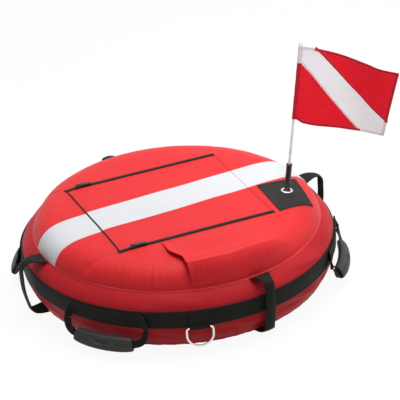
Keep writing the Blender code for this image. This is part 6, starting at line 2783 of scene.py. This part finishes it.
@dataclass
class DRings:
    """The two steel D-rings in their webbing keepers."""

    shape: BuoyShape = SHAPE
    angles: dict = field(default_factory=lambda: {"front": -110.0, "back": 70.0})
    out: float = 0.3670
    height: float = 0.064
    width: float = 0.062
    drop: float = 0.050
    wire: float = 0.005
    corner: float = 0.006
    keeper_width: float = 0.045
    keeper: float = 0.0014
    top: float = 0.037
    eye: float = 0.0028
    stitch_heights: tuple = (0.0125, 0.0165, 0.0320)

    def outline(self) -> Points:
        """The ring's middle line as rows of across and up, from its bar's right end round.

        Returns:
            The closed line's rows.
        """
        half, drop, corner = (self.width - self.wire) / 2, self.drop - self.wire, self.corner
        bow = drop - half if drop > half else drop * 0.4
        right = [
            (half - corner + corner * math.sin(t), -corner + corner * math.cos(t))
            for t in spaced(0.0, math.pi / 2, 8)
        ]
        arc = [(half * math.cos(t), -bow - (drop - bow) * math.sin(t)) for t in spaced(0.0, math.pi, 60)]
        left = [(-x, z) for x, z in reversed(right)]
        bar = [(x, 0.0) for x in spaced(-half + corner, half - corner, 12)[1:-1]]
        return np.array([*right, *arc, *left, *bar])

    def build(self) -> None:
        """Build and dress both rings and both keepers."""
        for side, degrees in self.angles.items():
            turn = math.radians(degrees)
            out = np.array([math.cos(turn), math.sin(turn), 0.0])
            level = np.array([math.sin(turn), -math.cos(turn), 0.0])
            up = np.array([0.0, 0.0, 1.0])
            centre = out * self.out + up * self.height
            line = self.outline()
            ring = swept_loop(
                f"{side}_d_ring_wire", centre + line[:, :1] * level + line[:, 1:] * up, out, self.wire / 2,
                20
            )
            dress(ring, STEEL, Slot.STEEL, f"{side}_ring", (f"{side}_d_ring",))
            self.loop(side, centre, out, level, up)

    def loop(self, side: str, centre: Points, out: Points, level: Points, up: Points) -> None:
        """The keeper: webbing folded round the bar, with its two layers sewn together on the belt.

        Args:
            side: Which ring.
            centre: The bar's middle.
            out: Direction out of the buoy.
            level: Direction along the bar.
            up: Upward direction.
        """
        mid = self.eye + self.keeper / 2
        back = -mid
        arc = [
            (mid * math.cos(t), mid * math.sin(t)) for t in spaced(math.radians(185), math.radians(390), 16)
        ]
        knots = [(back, self.top - 0.0004), (back, self.top * 0.6), (back, 0.004)] + arc
        knots += [
            (back + self.keeper + 0.0010, 0.0060), (back + self.keeper + 0.0002, 0.0095),
            (back + self.keeper + 0.0001, self.top - 0.002)
        ]
        line = curve_through(knots, 4)
        spots = centre + line[:, :1] * out + line[:, 1:] * up
        across = np.tile(level, (len(line), 1))
        piece = ribbon(
            f"{side}_keeper_webbing", spots, across, np.full(len(line), self.keeper_width), self.keeper, 10
        )
        dress(piece, KEEPER_WEB, Slot.WEBBING, replaces=(f"{side}_d_ring_keeper",))
        for index, height in enumerate(self.stitch_heights):
            face = centre + out * (back + 1.5 * self.keeper + 0.0002) + up * height
            centres = face + np.linspace(-0.0205, 0.0205, 30)[:, None] * level
            dress(
                stitch_row(
                    f"{side}_keeper_stitches_{index}", centres, np.tile(-up, (30, 1)), 0.0034, 0.0008
                ),
                THREAD_BLACK,
                Slot.WEBBING
            )


# ---------------------------------------------------------------- seams' stitches


@dataclass
class Stitching:
    """The visible rows of stitches and the sewn joints of the cover."""

    shape: BuoyShape = SHAPE
    steps: int = 200
    joint_angle: float = 170.0
    belt_row: float = 0.0172

    def on_crown(self, name: str, start: Spot, end: Spot, lift: float, finish: tuple) -> None:
        """A straight row on the crown.

        Args:
            name: The row's name.
            start: Its start in plan.
            end: Its end.
            lift: Height above the cloth.
            finish: Its material and slot.
        """
        x, y = straight(start, end, self.steps)
        centres = self.shape.on_dome(x, y, np.full(self.steps, self.shape.cover / 2 + lift))
        across = np.cross(np.tile([0.0, 0.0, 1.0], (self.steps, 1)), np.gradient(centres, axis=0))
        dress(stitch_row(name, centres, across, 0.0040, 0.0007), *finish)

    def round(
        self, name: str, radius: float, height: float, up: Spot, finish: tuple, pitch: float = 0.0042
    ) -> None:
        """A row all the way round the buoy.

        Args:
            name: The row's name.
            radius: Its radius.
            height: Its height.
            up: Direction across it, as outward and upward parts.
            finish: Its material and slot.
            pitch: The stitches' distance.
        """
        turn = np.linspace(-math.pi, math.pi, 721)
        out = np.stack([np.cos(turn), np.sin(turn), np.zeros(721)], axis=1)
        centres = out * radius + np.array([0.0, 0.0, height])
        across = out * up[0] + np.array([0.0, 0.0, up[1]])
        dress(stitch_row(name, centres, across, pitch, 0.0008), *finish)

    def build(self) -> None:
        """Build and dress every row and the bands' sewn joint."""
        white, red, black = (THREAD_WHITE, Slot.STRIPE), (THREAD_RED, Slot.TOP), (
            THREAD_BLACK, Slot.WEBBING
        )
        edge = self.shape.stripe_half - 0.003
        for side, sign in (("front", -1.0), ("back", 1.0)):
            y = sign * edge
            self.on_crown(
                f"stripe_left_{side}_stitches", (-0.318, y - 0.002), (-0.212, y - 0.002), 0.0007, white
            )
            self.on_crown(f"stripe_right_{side}_stitches", (0.176, y), (0.318, y), 0.0007, white)
        face = self.shape.face + self.shape.belt_thickness + 0.0001
        for name, offset in (
            ("belt_upper_stitches", self.belt_row), ("belt_lower_stitches", -self.belt_row)
        ):
            height = self.shape.belt_height + offset
            radius = float(self.shape.side_radius(np.array(height))) + face
            self.round(name, radius, height, (0.0, 1.0), black)
        self.hinge(red)
        self.joint()

    def hinge(self, finish: tuple) -> None:
        """Two rows beside the flap's hinge seam.

        Args:
            finish: The rows' material and slot.
        """
        (_, _), front, back, (_, _) = self.shape.flap
        edge = self.shape.stripe_half
        for index, shift in enumerate((0.0030, 0.0070)):
            start = np.array([front[0] + shift, front[1] + 0.010])
            end = np.array([back[0] + shift, back[1] - 0.010])
            lower, upper = (
                start + (end - start) * (y - start[1]) / (end[1] - start[1]) for y in (-edge, edge)
            )
            self.on_crown(f"hinge_front_stitches_{index}", start, lower, 0.0001, finish)
            self.on_crown(f"hinge_back_stitches_{index}", upper, end, 0.0001, finish)

    def joint(self) -> None:
        """The upright joint where the upper side band's ends are sewn together."""
        heights = np.linspace(self.shape.belt_height + 0.0215, self.shape.top_seam_height - 0.003, 30)
        turn = math.radians(self.joint_angle)
        out, level = np.array([math.cos(turn), math.sin(turn), 0.0]), np.array(
            [-math.sin(turn), math.cos(turn), 0.0]
        )
        angle = np.full(30, turn)
        radius = (
            self.shape.side_radius(heights) + self.shape.side_relief(angle, heights) + self.shape.cover / 2
            + 0.0004
        )
        centres = out * radius[:, None] + np.array([0.0, 0.0, 1.0]) * heights[:, None]
        across = np.tile(level, (30, 1))
        # The fold takes the darker side red, with its painted shade.
        dress(
            ribbon("band_joint_fold", centres, across, np.full(30, 0.009), 0.0010, 6), RED_SIDE_PAINTED_SHADE, Slot.SIDE
        )
        for index, offset in enumerate((-0.003, 0.003)):
            row = stitch_row(
                f"band_joint_stitches_{index}", centres + level * offset + out * 0.0006, -across, 0.0036,
                0.0007
            )
            dress(row, THREAD_RED, Slot.SIDE)


class Stage:
    """Camera, lamps, floor and white background."""

    eye = Vector((-1.333, -2.857, 1.827))
    target = Vector((0.0514, -0.0240, 0.1755))
    roll = math.radians(-3.85)
    focal_pixels = 1557.0
    image_pixels = 400.0
    sensor = 36.0
    white = (1.0, 1.0, 1.0, 1.0)
    ambient = 0.26
    floor_grey = (0.50, 0.50, 0.50, 1.0)
    floor_glow = 1.08
    floor_share = 0.86
    flag_power = 118.0
    flag_beam = math.radians(17.0)

    def build(self) -> None:
        """Build the whole stage."""
        self.camera()
        self.lamps()
        self.backdrop()

    def camera(self) -> None:
        """The camera at the photograph's angle."""
        data = bpy.data.cameras.new("camera")
        data.sensor_width = self.sensor
        data.lens = self.focal_pixels / self.image_pixels * self.sensor
        data.clip_end = 50.0
        camera = bpy.data.objects.new("camera", data)
        bpy.context.scene.collection.objects.link(camera)
        ahead = (self.target - self.eye).normalized()
        right = ahead.cross(Vector((0, 0, 1))).normalized()
        up = right.cross(ahead)
        level = math.cos(self.roll) * right + math.sin(self.roll) * up
        upright = -math.sin(self.roll) * right + math.cos(self.roll) * up
        turn = Matrix((level, upright, -ahead)).transposed().to_4x4()
        camera.matrix_world = Matrix.Translation(self.eye) @ turn
        bpy.context.scene.camera = camera

    def lamp(self, data: bpy.types.Light, place: Spot, aim: Spot) -> None:
        """Put a lamp in its place.

        Args:
            data: The lamp's data.
            place: Where it stands.
            aim: What it points at.
        """
        lamp = bpy.data.objects.new(data.name, data)
        turn = (Vector(place) - Vector(aim)).to_track_quat("Z", "Y").to_matrix().to_4x4()
        lamp.matrix_world = Matrix.Translation(place) @ turn
        bpy.context.scene.collection.objects.link(lamp)

    def lamps(self) -> None:
        """A broad soft lamp overhead, two weaker ones at the sides and a narrow one on the flag."""
        for name, place, aim, size, power in (
            ("overhead", (0.4, 0.1, 2.8), (0, 0, 0.1), 1.8, 74.0),
            ("left", (-2.6, -1.6, 1.3), (0, 0, 0.1), 1.4, 1.5),
            ("right", (2.6, -1.0, 1.6), (0, 0, 0.1), 1.2, 15.0),
        ):
            data = bpy.data.lights.new(name, "AREA")
            data.energy = power
            data.size = size
            self.lamp(data, place, aim)
        data = bpy.data.lights.new("flag", "SPOT")
        data.energy = self.flag_power
        data.shadow_soft_size = 0.3
        data.spot_size = self.flag_beam
        data.spot_blend = 0.5
        self.lamp(data, (-0.35, -1.75, 1.05), (0.335, -0.19, 0.448))

    def backdrop(self) -> None:
        """A pale floor and a world that looks white to the camera."""
        bpy.context.scene.view_settings.view_transform = "Standard"
        world = bpy.data.worlds.new("studio")
        world.use_nodes = True
        bpy.context.scene.world = world
        g = Graph(world.node_tree)
        plain = world.node_tree.nodes["Background"]
        plain.inputs["Color"].default_value = self.white
        plain.inputs["Strength"].default_value = self.ambient
        seen = g.add("Background", {"Color": self.white, "Strength": 1.0})
        rays = g.add("LightPath")
        shown = g.math("MAXIMUM", rays.outputs["Is Camera Ray"], rays.outputs["Is Glossy Ray"])
        shown = g.math("MAXIMUM", shown, rays.outputs["Is Transmission Ray"])
        mixed = g.add("MixShader", {0: shown, 1: plain.outputs[0], 2: seen.outputs[0]})
        world.node_tree.links.new(mixed.outputs[0], world.node_tree.nodes["World Output"].inputs["Surface"])

        bpy.ops.mesh.primitive_plane_add(size=14.0, location=(0.0, 0.0, -0.0008))
        floor = named("studio_floor")
        material, g, shader = new_finish("pale_floor")
        shader.inputs["Base Color"].default_value = self.floor_grey
        shader.inputs["Roughness"].default_value = 0.9
        shader.inputs["Specular IOR Level"].default_value = 0.0
        glow = g.add("Emission", {"Color": self.white, "Strength": self.floor_glow})
        rays = g.add("LightPath")
        shown = g.math("MAXIMUM", rays.outputs["Is Camera Ray"], rays.outputs["Is Glossy Ray"])
        mixed = g.add(
            "MixShader",
            {0: g.math("MULTIPLY", shown, self.floor_share), 1: shader.outputs[0], 2: glow.outputs[0]}
        )
        g.tree.links.new(mixed.outputs[0], g.tree.nodes["Material Output"].inputs["Surface"])
        floor.data.materials.append(material)


def dress_nodes() -> None:
    """Give the CAD nodes that show as they are, inside the cover, their procedural finish."""
    for name, material in (
        ("inflated_ring", TUBE_RUBBER), ("ring_valve", STEEL), ("valve_cap", TUBE_RUBBER)
    ):
        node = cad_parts[name]
        node.data.materials.clear()
        node.data.materials.append(material)
        LOG.info("%s: CAD node shown", name)


def main() -> None:
    """Build the stage and every sub-assembly in order."""
    Stage().build()
    Cover().build()
    Stitching().build()
    Zips().build()
    Pocket().build()
    FlagStand().build()
    Flag().build()
    Straps().build()
    Handles().build()
    DRings().build()
    dress_nodes()


if __name__ == "__main__":
    main()
